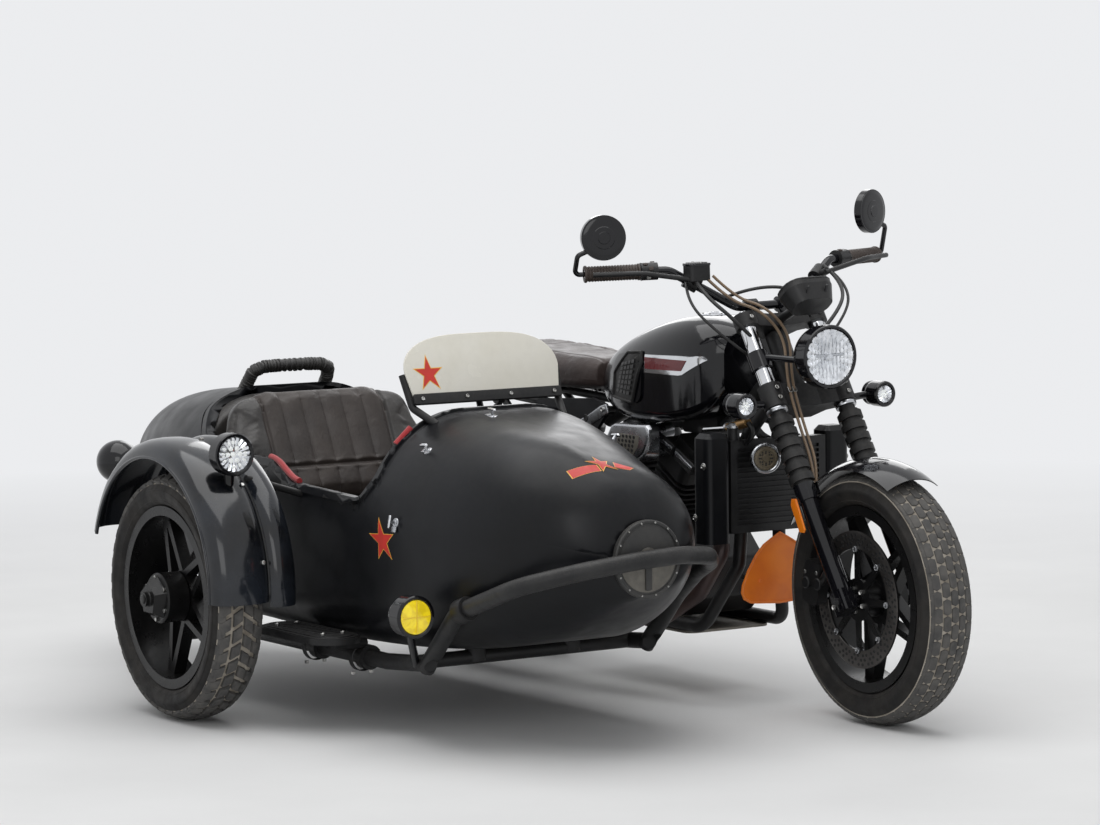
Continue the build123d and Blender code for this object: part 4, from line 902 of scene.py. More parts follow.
@dataclass(frozen=True)
class Studio:
    """Camera, lamps, pale floor and surrounding light."""

    eye: Place = (8.17135, -5.07904, 1.50279)
    turn: Place = (85.16683, 0.72438, 57.23668)
    lens: float = 128.97
    ambient: float = 0.5
    floor_half: float = 40.0
    fade: tuple[float, float] = (2.2, 6.0)

    def camera(self) -> None:
        """Place the camera at the photograph's viewpoint."""
        data = bpy.data.cameras.new("camera")
        data.sensor_width = 36.0
        data.sensor_fit = "HORIZONTAL"
        data.lens = self.lens
        data.clip_end = 200.0
        holder = bpy.data.objects.new("camera", data)
        holder.location = self.eye
        holder.rotation_euler = [radians(value) for value in self.turn]
        bpy.context.scene.collection.objects.link(holder)
        bpy.context.scene.camera = holder

    def lamp(self, name: str, place: Place, aim: Place, size: float, power: float) -> None:
        """Hang one square area lamp.

        Args:
            name: the lamp's name.
            place: where it hangs.
            aim: the point that it faces.
            size: its side in metres.
            power: watts.
        """
        data = bpy.data.lights.new(name, "AREA")
        data.shape = "SQUARE"
        data.size = size
        data.energy = power
        holder = bpy.data.objects.new(name, data)
        holder.location = place
        holder.rotation_euler = (Vector(aim) - Vector(place)).to_track_quat("-Z", "Y").to_euler()
        bpy.context.scene.collection.objects.link(holder)

    def lamps(self) -> None:
        """Hang the lamps."""
        self.lamp("overhead", (0.3, -0.4, 4.6), (0.0, 0.0, 0.3), 5.0, 150.0)
        self.lamp("front_fill", (6.5, -4.5, 3.2), (0.0, 0.0, 0.5), 3.5, 60.0)
        self.lamp("back_rim", (-4.5, 4.0, 3.4), (0.0, 0.0, 0.5), 3.5, 70.0)

    def world(self) -> None:
        """Light evenly from all round, and show a pale background."""
        world = bpy.data.worlds.new("studio")
        bpy.context.scene.world = world
        world.use_nodes = True
        tree = world.node_tree
        tree.nodes.clear()
        rays = tree.nodes.new("ShaderNodeLightPath")
        seen = rays.outputs["Is Camera Ray"]
        for kind in ("Is Glossy Ray", "Is Transmission Ray"):
            either = tree.nodes.new("ShaderNodeMath")
            either.operation = "MAXIMUM"
            tree.links.new(seen, either.inputs[0])
            tree.links.new(rays.outputs[kind], either.inputs[1])
            seen = either.outputs[0]
        strength = tree.nodes.new("ShaderNodeMapRange")
        tree.links.new(seen, strength.inputs["Value"])
        strength.inputs["To Min"].default_value = self.ambient
        strength.inputs["To Max"].default_value = PALE_STRENGTH
        light = tree.nodes.new("ShaderNodeBackground")
        light.inputs["Color"].default_value = PALE
        tree.links.new(strength.outputs[0], light.inputs["Strength"])
        output = tree.nodes.new("ShaderNodeOutputWorld")
        tree.links.new(light.outputs[0], output.inputs["Surface"])

    def floor(self) -> None:
        """Lay the pale floor, which takes the background's colour in the distance."""
        nodes = Nodes("pale_floor")
        clouds = nodes.remap(nodes.noise(1.4, 6.0), 0.3, 0.7)
        colour = nodes.mix(clouds, (0.72, 0.72, 0.715), (0.78, 0.78, 0.775))
        material = nodes.shade(Base_Color=colour, Roughness=0.85, Normal=nodes.bump(nodes.noise(260.0, 4.0), 0.25))
        reach = nodes.add("ShaderNodeVectorMath", operation="LENGTH")
        nodes.link(nodes.place, reach.inputs[0])
        pale = nodes.add("ShaderNodeEmission")
        pale.inputs["Color"].default_value = PALE
        pale.inputs["Strength"].default_value = PALE_STRENGTH
        blend = nodes.add("ShaderNodeMixShader")
        nodes.link(nodes.remap(reach.outputs["Value"], *self.fade), blend.inputs[0])
        nodes.link(nodes.output.inputs["Surface"].links[0].from_socket, blend.inputs[1])
        nodes.link(pale.outputs[0], blend.inputs[2])
        nodes.link(blend.outputs[0], nodes.output.inputs["Surface"])
        part = bmesh.new()
        bmesh.ops.create_grid(part, x_segments=4, y_segments=4, size=self.floor_half)
        data = bpy.data.meshes.new("floor")
        part.to_mesh(data)
        part.free()
        data.materials.append(material)
        holder = bpy.data.objects.new("floor", data)
        bpy.context.scene.collection.objects.link(holder)

    def build(self) -> None:
        """Set the whole studio."""
        bpy.context.scene.view_settings.view_transform = "Standard"
        self.camera()
        self.lamps()
        self.world()
        self.floor()


@dataclass(frozen=True)
class Tread:
    """How the blocks of a tyre are laid out, in millimetres across and round."""

    columns: tuple[float, ...]
    width: float
    length: float
    point: float
    count: int
    lugs: bool = False


STREET = Tread((-42, -21, 0, 21, 42), 19.3, 38.0, 4.5, 47)
STREET_WIDE = Tread((-52.5, -31.5, -10.5, 10.5, 31.5, 52.5), 19.3, 38.0, 4.5, 47)
LUGGED = Tread((-42, -14, 14, 42), 22.0, 30.0, 0.0, 44, True)


@dataclass(frozen=True)
class Tyre:
    """One tyre: carcass, blocks and shoulder lugs."""

    name: str
    body: Body
    axle: Vector
    radius: float
    half: float
    tread: Tread
    groove: float = 3.2
    shoulder_inset: float = 12.0
    crown: float = 14.0
    bead: float = 217.0

    @property
    def place(self) -> Datum:
        """The axle's datum, along which the wheel spins."""
        return Datum(self.axle, UP, FORWARD, LEFT)

    def drop(self, across: float) -> tuple[float, float]:
        """Follow the crown's bend.

        Args:
            across: millimetres from the middle.

        Returns:
            How far the crown has fallen there, and its slope in radians.
        """
        shoulder = self.half - self.shoulder_inset
        bend = (shoulder**2 + self.crown**2) / (2 * self.crown)
        slope = asin(max(-0.98, min(0.98, across / bend)))
        return bend - bend * cos(slope), slope

    def carcass(self) -> Part:
        """Spin the closed section: groove floor, shoulders, walls and beads.

        Returns:
            The carcass, whose walls have the second material.
        """
        shoulder = self.half - self.shoulder_inset
        wall = (self.bead + self.radius) / 2 - 6
        half_section = [
            (self.radius - self.groove - self.drop(shoulder * k / 6)[0], shoulder * k / 6) for k in range(7)
        ] + [
            (self.radius - 25, shoulder + 2.5), (self.radius - 31, self.half - 5), (self.radius - 38, self.half - 2),
            (wall + 6, self.half - 0.6), (wall + 4, self.half + 0.2), (wall - 2, self.half + 0.1),
            (wall - 4, self.half - 0.8), (238, self.half - 3), (231, self.half - 5.5), (230, self.half - 5),
            (227, self.half - 6.5), (222, self.half - 12), (217.6, self.half - 18), (210, self.half - 26),
        ]
        section = [(r, -y) for r, y in reversed(half_section)] + half_section[1:]
        part = turned(self.place, section + section[:1], 144)
        for face in part.faces:
            middle = face.calc_center_median() - self.axle
            reach = Vector((middle.x, 0, middle.z)).length / MM
            face.material_index = 0 if reach > self.radius - 24 else 1
        return part

    def block(self, across: float, outline: Outline, turn: float, height: float, sink: float = 0.0) -> Part:
        """Raise one block at a distance across and repeat it round the tyre.

        Args:
            across: millimetres from the middle.
            outline: its corners, across and round.
            turn: how far round it starts, as a share of the pitch.
            height: millimetres above the groove floor.
            sink: how far its top lies below the crown.

        Returns:
            All the blocks of the row.
        """
        fall, slope = self.drop(across)
        lateral = LEFT * cos(slope) - UP * sin(slope)
        outward = UP * cos(slope) + LEFT * sin(slope)
        top = self.axle + (LEFT * across + UP * (self.radius - fall - 0.4 - sink)) * MM
        place = Datum(top - outward * (height * MM), lateral, FORWARD, outward)
        part = prism(place, outline, height, 0.9, 0.95)
        angle = tau / self.tread.count * turn
        bmesh.ops.rotate(part, cent=self.axle, matrix=Matrix.Rotation(angle, 3, LEFT), verts=part.verts)
        return spread(part, self.place, self.tread.count)

    def build(self, palette: Materials) -> None:
        """Build the tyre in place of its solid.

        Args:
            palette: the finishes' materials.
        """
        shape = Shape(palette, steered=self.body is Body.FRONT_WHEEL)
        shape.add(self.carcass(), TYRE_FLOOR, TYRE_SIDE)
        tread, height = self.tread, self.groove + 1.0
        half, long = tread.width / 2, tread.length / 2
        for number, across in enumerate(tread.columns):
            turn = 0.5 * (number % 2)
            if tread.lugs:
                lean = 7 if across < 0 else -7
                outline = [(-half, -long + lean), (half, -long - lean), (half, long - lean), (-half, long + lean)]
            else:
                outline = [
                    (-half, -long + tread.point), (0, -long), (half, -long + tread.point),
                    (half, long - tread.point), (0, long), (-half, long - tread.point),
                ]
            shape.add(self.block(across, outline, turn, height), TYRE_BLOCK)
        shoulder_blocks = ((12.0, 0.62), (20.0, 0.78)) if tread.lugs else ((7.0, 0.8), (11.0, 0.92))
        for side in (-1, 1):
            for number, (wide, share) in enumerate(shoulder_blocks):
                outline = box_outline(wide, tread.length * share)
                across = side * (self.half - 11 - wide / 6)
                shape.add(self.block(across, outline, 0.5 * number + 0.02, height + 5, 0.8 + number), TYRE_BLOCK)
        shape.build(self.name + "_tread", "tyre_rubber", (self.name,), self.body, 30.0)


@dataclass(frozen=True)
class Brake:
    """Bright band, holes and buttons of one disc."""

    name: str
    body: Body
    axle: Vector
    side: int
    radius: float
    phase: float
    bolts: float = 27.0
    offset: float = 61.0
    band: float = 41.0
    hole_rows: int = 3
    row_step: float = 10.5

    def build(self, palette: Materials) -> None:
        """Build the disc's facing on both of its faces.

        Args:
            palette: the finishes' materials.
        """
        shape = Shape(palette, steered=self.body is Body.FRONT_WHEEL)
        r, inside = self.radius, self.radius - self.band
        turn = radians(self.phase)
        start = Vector((cos(turn), 0, sin(turn)))
        edge = [(inside + 0.5, 0.5), (r - 1, 0.5), (r, 0.0), (r - 1, -0.4), (inside, -0.4)]
        ring = [(inside, 0.0), *edge, (inside, 0.0)]
        for face_side in (-1, 1):
            outward = RIGHT * (self.side * face_side)
            place = datum(self.axle + RIGHT * (self.side * self.offset * MM) + outward * (2.5 * MM), outward, start)
            shape.add(turned(place, ring, 96), DISC_STEEL)
            for row in range(self.hole_rows):
                reach = r - 9 - self.row_step * row
                for lean in (0.0, 0.4):
                    angle = radians(15) * (row * 0.27 + lean)
                    spot = place.moved(reach * cos(angle), reach * sin(angle), 0.4)
                    hole = turned(spot, ((0, 0.35), (3.3, 0.35), (3.7, 0.7), (4.4, 0.0)), 10)
                    shape.add(spread(hole, place, 24), ENGINE_BLACK)
            shape.add(spread(bolt(place.moved(inside - 1, 0.0, 1.5), 7.5, 3.2), place, 8), SILVER)
            shape.add(spread(bolt(place.moved(self.bolts, 0.0, 0.2), 6.0, 5.0), place, 5), SCREW)
        shape.build(self.name + "_brake_disc", "black_cast", body=self.body)


@dataclass(frozen=True)
class LampFace:
    """Rim, reflector, light sources and lens of one round lamp."""

    place: Datum
    radius: float
    sources: int
    yellow: bool = False
    flutes: int = 20

    def add_to(self, shape: Shape) -> None:
        """Add the lamp's face to a piece, except its lens.

        Args:
            shape: the piece.
        """
        r = self.radius
        rim = [(r - 10, -1), (r - 9, 5), (r - 6, 8.5), (r - 1, 9), (r + 1.5, 6), (r + 1.5, -9), (r - 10, -9)]
        shape.add(turned(self.place, rim + rim[:1], 64), GLOSS_BLACK)
        inner = r - 9
        dish = [(0, 0.6), (inner * 0.24, 0.6), (inner * 0.3, 1.6), (inner * 0.66, 3.6), (inner, 5.5)]
        bowl = turned(self.place, dish, 40)
        axis = self.place.z
        for vert in bowl.verts:
            offset = vert.co - self.place.origin
            flat = offset - axis * offset.dot(axis)
            if flat.length > inner * 0.4 * MM:
                angle = atan2(flat.dot(self.place.y), flat.dot(self.place.x))
                vert.co += axis * (1.5 * MM * cos(self.flutes * angle))
        shape.add(bowl, shape.palette.bowl)
        if self.sources > 1:
            self.add_sources(shape, inner)
        else:
            self.add_bulb(shape, inner)

    def add_sources(self, shape: Shape, inner: float) -> None:
        """Add small lights: one in the middle, and two rings.

        Args:
            shape: the piece.
            inner: the bowl's radius in millimetres.
        """
        spots = [(0.0, 0.0)] + arc(inner * 0.4, 0, tau, 6)[:-1] + arc(inner * 0.74, 0, tau, 12)[:-1]
        bead = ((0, 3.4), (inner * 0.08, 3.1), (inner * 0.14, 1.6), (inner * 0.155, -1))
        for x, y in spots[: self.sources]:
            shape.add(turned(self.place.moved(x, y, 1.8), bead, 12), BULB)

    def add_bulb(self, shape: Shape, inner: float) -> None:
        """Add the bulb's cap, the bar across it and the upright ribs.

        Args:
            shape: the piece.
            inner: the bowl's radius in millimetres.
        """
        cap = ((0, 7.5), (inner * 0.1, 7), (inner * 0.15, 5.2), (inner * 0.15, 0))
        shape.add(turned(self.place, cap, 24), CHROME)
        bar = self.place.moved(0, inner * 0.06, 4.0)
        shape.add(prism(bar, box_outline(inner * 1.25, inner * 0.1, 2.4), 3.0, 1.0), SILVER)
        for number in range(-5, 6):
            x = inner * 0.155 * number
            tall = 1.7 * sqrt((inner * 0.94) ** 2 - x * x)
            rib = self.place.moved(x, 0, 3.6 + 0.02 * abs(x))
            shape.add(prism(rib, box_outline(1.6, tall, 0.7), 1.6, 0.5), CHROME)

    def add_lens(self, shape: Shape) -> None:
        """Add the lens to a piece of its own.

        Args:
            shape: the piece.
        """
        r = self.radius - 8.6
        outside = [(0, 11.5), (r * 0.35, 11.0), (r * 0.7, 9.4), (r, 7.0)]
        inside = [(r, 6.0), (r * 0.7, 8.2), (r * 0.35, 9.8), (0, 10.2)]
        glass = shape.palette.yellow if self.yellow else shape.palette.clear
        shape.add(turned(self.place, outside + inside, 56), glass)


@dataclass(frozen=True)
class Pad:
    """A stuffed leather piece, swelled as cloth from its solid and then sewn.

    Edge is the finish of its sides, the y of its middle and how far the main finish reaches from it.
    """

    name: str
    node: str
    finish: Finish
    slot: str
    sew: Callable[[Vector], Vector]
    voxel: float = 6.0
    swell: float = 9.0
    fill: float = 0.6
    edge: tuple[Finish, float, float] | None = None
    frames: int = 20
    pressure: float = 4.0

    @staticmethod
    def mesh_of(holder: bpy.types.Object) -> bpy.types.Mesh:
        """Return the mesh of an object with its modifiers applied."""
        graph = bpy.context.evaluated_depsgraph_get()
        return bpy.data.meshes.new_from_object(holder.evaluated_get(graph))

    def remeshed(self, node: bpy.types.Object) -> bpy.types.Object:
        """Copy the solid as an even mesh, a little smaller than it.

        Args:
            node: the solid.

        Returns:
            The copy.
        """
        start = bmesh.new()
        start.from_mesh(node.data)
        bmesh.ops.remove_doubles(start, verts=start.verts, dist=1e-5)
        data = bpy.data.meshes.new(self.name)
        start.to_mesh(data)
        start.free()
        holder = bpy.data.objects.new(self.name, data)
        bpy.context.scene.collection.objects.link(holder)
        remesh = holder.modifiers.new("even", "REMESH")
        remesh.mode = "VOXEL"
        remesh.voxel_size = self.voxel * MM
        even = self.mesh_of(holder)
        holder.modifiers.clear()
        holder.data = even
        even.materials.clear()
        body = bmesh.new()
        body.from_mesh(even)
        for _ in range(4):
            bmesh.ops.smooth_vert(
                body, verts=body.verts, factor=0.5, use_axis_x=True, use_axis_y=True, use_axis_z=True
            )
        body.normal_update()
        for vert in body.verts:
            vert.co -= vert.normal * (self.swell * 0.5 * MM)
        body.to_mesh(even)
        body.free()
        return holder

    def inflate(self, holder: bpy.types.Object) -> None:
        """Swell the mesh as cloth under pressure, with its travel capped.

        Args:
            holder: the even copy.
        """
        cloth = holder.modifiers.new("cloth", "CLOTH")
        settings = cloth.settings
        settings.use_pressure = True
        settings.uniform_pressure_force = self.pressure
        settings.effector_weights.gravity = 0.0
        settings.quality = 5
        scene = bpy.context.scene
        cloth.point_cache.frame_start = 1
        cloth.point_cache.frame_end = self.frames
        for number in range(1, self.frames + 1):
            scene.frame_set(number)
        swelled = self.mesh_of(holder)
        holder.modifiers.clear()
        for vert, moved in zip(holder.data.vertices, swelled.vertices):
            step = moved.co - vert.co
            reach = min(step.length, self.swell * MM)
            vert.co += step.normalized() * reach if step.length else step
        bpy.data.meshes.remove(swelled)
        scene.frame_set(1)

    def build(self, nodes: dict[str, bpy.types.Object], palette: Materials) -> None:
        """Swell, smooth, divide and sew the piece, and put it in place of its solid.

        Args:
            nodes: the solids by name.
            palette: the finishes' materials.
        """
        holder = self.remeshed(nodes[self.node])
        self.inflate(holder)
        finer = holder.modifiers.new("finer", "SUBSURF")
        finer.levels = finer.render_levels = 1
        divided = self.mesh_of(holder)
        holder.modifiers.clear()
        holder.data = divided
        for vert in divided.vertices:
            vert.co += self.sew(vert.co.copy())
        for face in divided.polygons:
            face.use_smooth = True
        divided.materials.append(palette.of(self.finish))
        if self.edge:
            finish, middle, reach = self.edge
            divided.materials.append(palette.of(finish))
            for face in divided.polygons:
                face.material_index = int(abs(face.center.y - middle) > reach)
        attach(holder, Body.CHASSIS.value)
        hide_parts(self.node)
        log.info("%s: %d faces, padded", self.name, len(divided.polygons))


BACK_FOOT = car(219.4, 0, 436)
BACK_UP = Vector((-0.433, 0, 0.901))
BACK_OUT = Vector((0.901, 0, 0.433))


def groove(distance: float, width: float, depth: float) -> float:
    """Return the depth of a sewn groove at a distance from its line, in millimetres."""
    return depth * exp(-((distance / width) ** 2))


def channel(across: float, first: float, pitch: float) -> float:
    """Return how near a place is to a channel's seam: 1 on the seam, 0 midway."""
    return 1 - abs(sin(pi * (across + first) / pitch)) ** 0.5


def sew_back(point: Vector) -> Vector:
    """Sew six upright channels between two bolsters, with a cross seam low down.

    Args:
        point: a place on the swelled piece.

    Returns:
        How it moves, in metres.
    """
    field, bolster_start, seam_height, front_face = 172, 186, 92, 34
    offset = (point - BACK_FOOT) / MM
    across, high, out = offset.y, offset.dot(BACK_UP), offset.dot(BACK_OUT)
    if out < front_face:
        return Vector()
    front = min(1.0, (out - front_face) / 20)
    depth = groove(high - seam_height, 5.5, 8.0) if abs(across) < 176 else 0.0
    depth += groove(abs(across) - 174, 5.0, 9.0)
    if abs(across) < field:
        fade = min(1.0, abs(high - seam_height) / 16) * min(1.0, max(0.0, (292 - high) / 26))
        depth += 9.0 * fade * channel(across, 174, 58)
    wrinkle = 1.2 * sin(high / 17 + 2.1 * sin(across / 41)) * sin(across / 29 + 1.3)
    inward = BACK_OUT * (-(depth + wrinkle * (0.5 if abs(across) < field else 1.0)) * front)
    bolster = max(0.0, abs(across) - bolster_start) / 70
    return (inward + (BACK_OUT * 14 + LEFT * copysign(34, across)) * bolster) * MM


def sew_cushion(point: Vector) -> Vector:
    """Sew channels fore and aft and a border on the cushion.

    Args:
        point: a place on the swelled piece.

    Returns:
        How it moves, in metres.
    """
    half_width, half_length, middle, foot = 200, 160, 435, 0.40
    across, ahead = (point - car(0, 0, 0)).y / MM, (point - car(0, 0, 0)).x / MM
    if point.z < foot:
        return Vector()
    border = min(abs(abs(across) - half_width), abs(abs(ahead - middle) - half_length))
    depth = groove(border, 6.0, 7.0)
    if abs(across) < half_width and abs(ahead - middle) < half_length:
        depth += 7.0 * channel(across, half_width, 57)
    return UP * (-depth * MM)


def sew_saddle(point: Vector) -> Vector:
    """Sew the saddle's cover: a seam along each side, a cross seam and cross channels behind it.

    Args:
        point: a place on the swelled piece.

    Returns:
        How it moves, in metres.
    """
    cross_seam, top = 150, 745
    offset = (point - bike(0, 0, 0)) / MM
    ahead, across, high = offset
    edge = abs(across) - (62 + 34 * min(1.0, max(0.0, (420 - ahead) / 260)))
    depth = groove(edge, 4.0, 3.5) if high > top else 0.0
    if ahead < cross_seam and edge < 0:
        depth += 3.4 * channel(ahead, 0, 44)
    depth += groove(ahead - cross_seam, 5.0, 5.0) if high > top else 0.0
    wrinkle = 0.9 * sin(ahead / 19 + 1.7 * sin(across / 27)) * sin(across / 23)
    inward = UP if high > top else Vector((0, copysign(1.0, across), 0))
    return inward * (-(depth + wrinkle) * MM)


PADS = (
    Pad(
        "seat_back_leather", "sidecar_seat_back", LEATHER, "brown_leather", sew_back, 5.5, 9.0, 0.7,
        edge=(DARK_LEATHER, car(0, 0, 0).y, 0.175),
    ),
    Pad("seat_cushion_leather", "sidecar_cushion", LEATHER, "brown_leather", sew_cushion, 8.0, 12.0, 0.6),
    Pad("saddle_leather", "saddle", SADDLE_LEATHER, "dark_leather", sew_saddle, 6.0, 6.0, 0.7),
)

SOLIDS_BY_FINISH: tuple[tuple[Finish, str], ...] = (
    (WHEEL_BLACK, "front_wheel rear_wheel sidecar_wheel"),
    (
        TUBE_BLACK,
        "fork_yokes main_frame swingarm rear_shocks "
        "windshield_frame sidecar_frame sidecar_axle step_plate",
    ),
    (RUBBER_BLACK, "fork_gaiters"),
    (
        GLOSS_BLACK,
        "fork_sliders handlebar mirrors headlamps front_fender "
        "fuel_tank rear_fender sidecar_lamps fog_lamp",
    ),
    (ENGINE_BLACK, "brake_caliper crankcase cylinders radiator"),
    (PLASTIC_BLACK, "hand_controls gauge_pod"),
    (SILVER, "air_filter"),
    (BODY_BLACK, "radiator_shrouds side_panels sidecar_body"),
    (HEADER, "exhaust"),
    (SKID_GREY, "skid_plate"),
    (ORANGE, "chin_guard"),
    (BELT, "drive_belt"),
    (COVER_GREY, "nose_cover"),
    (WRAP, "grab_rail"),
    (CREAM, "windshield"),
    (BUMPER_RUBBER, "bumper"),
    (FENDER_BLACK, "sidecar_fender"),
    (TYRE_SIDE, "front_tyre rear_tyre sidecar_tyre"),
    (LEATHER, "sidecar_cushion sidecar_seat_back"),
    (SADDLE_LEATHER, "saddle"),
)
NODE_FINISHES = {name: finish for finish, names in SOLIDS_BY_FINISH for name in names.split()}


def flank(y: float, side: int) -> Datum:
    """Return a datum beside the motorcycle that looks outwards. Its outlines go through facing() first."""
    return Datum(bike(0, side * y, 0), FORWARD, UP * -side, RIGHT * -side)


def facing(points: Outline, side: int) -> Corners:
    """Return an outline of ahead and up as a flank's datum has it."""
    return [(x, z * -side) for x, z in points]


@dataclass(frozen=True)
class FrontEnd:
    """Steered trim: lamps' faces, chrome tubes, screws, mirrors' glass, grips, hoses and reflectors."""

    palette: Materials
    head_lamp: Place = (1373, 0, 846)
    head_radius: float = 74.0
    small_lamp: Place = (46, 198, 513)
    small_radius: float = 29.2
    tube_lead: float = 35.0
    tube_side: float = 98.0
    clamp_screws: tuple[float, ...] = (519, 545, 735)
    reflector: Outline = ((1388, 527), (1408, 529), (1446, 452), (1440, 443), (1422, 443), (1384, 510))
    grip_end: Place = (975, 422, 1050)
    grip_bend: Place = (1048, 232, 1051)
    grip_ribs: int = 17
    mirror: tuple[float, float] = (1006, 386)
    mirror_heights: tuple[float, float] = (1136, 1160)
    gauge: Place = (1285, 0, 993)

    def shape(self) -> Shape:
        """Start a steered piece."""
        return Shape(self.palette, steered=True)

    def lamps(self) -> None:
        """Face the head lamp and the two small lamps beside the fork."""
        head, lens = self.shape(), self.shape()
        main = LampFace(Datum(bike(*self.head_lamp), LEFT, UP, FORWARD), self.head_radius, 1)
        main.add_to(head)
        main.add_lens(lens)
        fin = [(26, 0), (28.6, 0.8), (28.6, 2.2), (26, 3), (26, 0)]
        lead, away, height = self.small_lamp
        for side in (-1, 1):
            spot = fork(lead, side * away, height)
            small = LampFace(Datum(spot + FORWARD * (14 * MM), LEFT, UP, FORWARD), self.small_radius, 7)
            small.add_to(head)
            small.add_lens(lens)
            for turn in range(5):
                ring = Datum(spot - FORWARD * ((18 + 5 * turn) * MM), LEFT, UP, FORWARD)
                head.add(turned(ring, fin, 32), GLOSS_BLACK)
        head.build("lamp_faces", "gloss_black", body=Body.STEERING)
        lens.build("lamp_lenses", "lamp_clear", body=Body.STEERING)

    def tubes(self) -> None:
        """Sleeve the upper fork tubes in chrome, with caps, rings and clamp screws."""
        chrome, screws = self.shape(), self.shape()
        sleeve = [(20.1, 560), (20.1, 720), (19.0, 720), (19.0, 560), (20.1, 560)]
        cap = [(0, 762), (9, 762), (10, 760), (10, 757), (17, 756), (18, 754), (18, 750), (0, 750)]
        ring = [(20, 490), (25, 491), (26, 494), (26, 499), (25, 501), (20, 501), (20, 490)]
        for side in (-1, 1):
            foot = Datum(fork(self.tube_lead, side * self.tube_side, 0), LEAD, STEM.cross(LEAD), STEM)
            for section, steps, finish in ((sleeve, 40, CHROME), (cap, 32, CHROME), (ring, 40, SILVER)):
                chrome.add(turned(foot, section, steps), finish)
            for height in self.clamp_screws:
                spot = datum(fork(self.tube_lead + 28, side * self.tube_side, height), LEAD, LEFT)
                screws.add(bolt(spot, 5.2, 5.0), SCREW)
            screws.add(bolt(datum(fork(20, side * (self.tube_side + 22), -6), RIGHT * -side, LEAD), 6, 5), SCREW)
        nut = Datum(fork(0, 0, 752), LEAD, STEM.cross(LEAD), STEM)
        screws.add(turned(nut, ((0, 14), (12, 14), (14, 12), (14, 8), (18, 7), (18, -2), (0, -2)), 24), SILVER)
        chrome.build("fork_tubes", "chrome", body=Body.STEERING)
        screws.build("fork_screws", "steel", body=Body.STEERING)

    def reflectors(self) -> None:
        """Hold an amber reflector beside each slider."""
        shape = self.shape()
        for side in (-1, 1):
            back, corners = flank(122, side), facing(self.reflector, side)
            shape.add(prism(back, corners, 3.0, 0.6), PLASTIC_BLACK)
            inner = [(x + (1416 - x) * 0.1, z + (486 * -side - z) * 0.1) for x, z in corners]
            # The amber inset's glow is painted light.
            shape.add(prism(back.moved(0, 0, 3.0), inner, 4.0, 1.4), AMBER_PAINTED_GLOW)
            for height in (330, 400):
                stay = [fork(self.tube_lead, side * self.tube_side, height), fork(self.tube_lead, side * 123, height)]
                shape.add(curved(stay, 5, smooth=False), TUBE_BLACK)
        shape.build("reflectors", "lamp_yellow", body=Body.STEERING)

    def grip(self, side: int, grips: Shape, parts: Shape) -> None:
        """Rib one grip and set its switches beside it.

        Args:
            side: -1 on the right, 1 on the left.
            grips: the piece of the rubbers.
            parts: the piece of the switches.
        """
        (end_x, end_y, end_z), (bend_x, bend_y, bend_z) = self.grip_end, self.grip_bend
        end, bend = bike(end_x, side * end_y, end_z), bike(bend_x, side * bend_y, bend_z)
        along = (bend - end).normalized()
        place = datum(end, along, UP)
        section = [(11.5, -1), (19.5, -1), (20.5, 1), (20.5, 4), (18.0, 6)]
        for number in range(self.grip_ribs):
            start = 9 + 7 * number
            section += [(17.2, start), (18.7, start + 1.4), (18.7, start + 4.4), (17.2, start + 5.8)]
        section += [(20.0, 129), (20.0, 133), (11.5, 134), (11.5, -1)]
        grips.add(turned(place, section, 36), GRIP)
        for number, (angle, reach) in enumerate(((0.6, 146), (1.2, 158), (-0.4, 166), (2.2, 152))):
            normal = place.x * cos(angle) + place.y * sin(angle)
            spot = datum(place.point(0, 0, reach) + normal * (20.5 * MM), normal, along)
            knob = prism(spot, box_outline(11, 7 + number % 2 * 3, 2), 3.5, 0.8)
            parts.add(knob, SCREW if number == 3 else GRIP)
        split = [(21.0, 135.4), (21.8, 136), (21.8, 138), (21.0, 138.6), (21.0, 135.4)]
        parts.add(turned(place, split, 36), GLOSS_BLACK)

    def bars(self) -> None:
        """Rib the grips, glaze the mirrors, and detail the switches and the reservoir."""
        grips, glass_piece, parts = self.shape(), self.shape(), self.shape()
        dome = [
            (0, 15.5), (14, 15.2), (15, 13.8), (26, 13.2), (27, 12.2), (40, 11.6), (49, 10.6), (54, 8), (54, -9),
            (50, -10.5), (49, -9), (0, -9),
        ]
        pane = [(0, 1.4), (30, 1.2), (48.5, 0.6), (48.5, -1.5), (0, -1.5)]
        for side, height in zip((-1, 1), self.mirror_heights):
            self.grip(side, grips, parts)
            turn = radians(side * 20)
            ahead = Vector((cos(turn), sin(turn), 0))
            centre = bike(self.mirror[0], side * self.mirror[1], height)
            parts.add(turned(datum(centre, ahead, UP), dome, 56), GLOSS_BLACK)
            glass_piece.add(turned(datum(centre - ahead * (9 * MM), -ahead, UP), pane, 56), CHROME)
        bend = bike(self.grip_bend[0], -self.grip_bend[1], self.grip_bend[2])
        down = (bike(1114, -84, 957) - bend).normalized()
        lid = Datum(bend + down * (62 * MM) + FORWARD * (26 * MM) + UP * (42 * MM), FORWARD, LEFT, UP)
        parts.add(prism(lid, box_outline(45, 59, 9), 6, 1.6), GLOSS_BLACK)
        parts.add(prism(lid.moved(0, 0, 6), box_outline(33, 47, 7), 1.6, 0.6), PLASTIC_BLACK)
        for x in (-17, 17):
            parts.add(bolt(lid.moved(x, 0, 6), 3.2, 2.4), SCREW)
        grips.build("grip_rubbers", "rubber", body=Body.STEERING)
        glass_piece.build("mirror_glass", "chrome", body=Body.STEERING)
        parts.build("bar_fittings", "black_plastic", body=Body.STEERING)

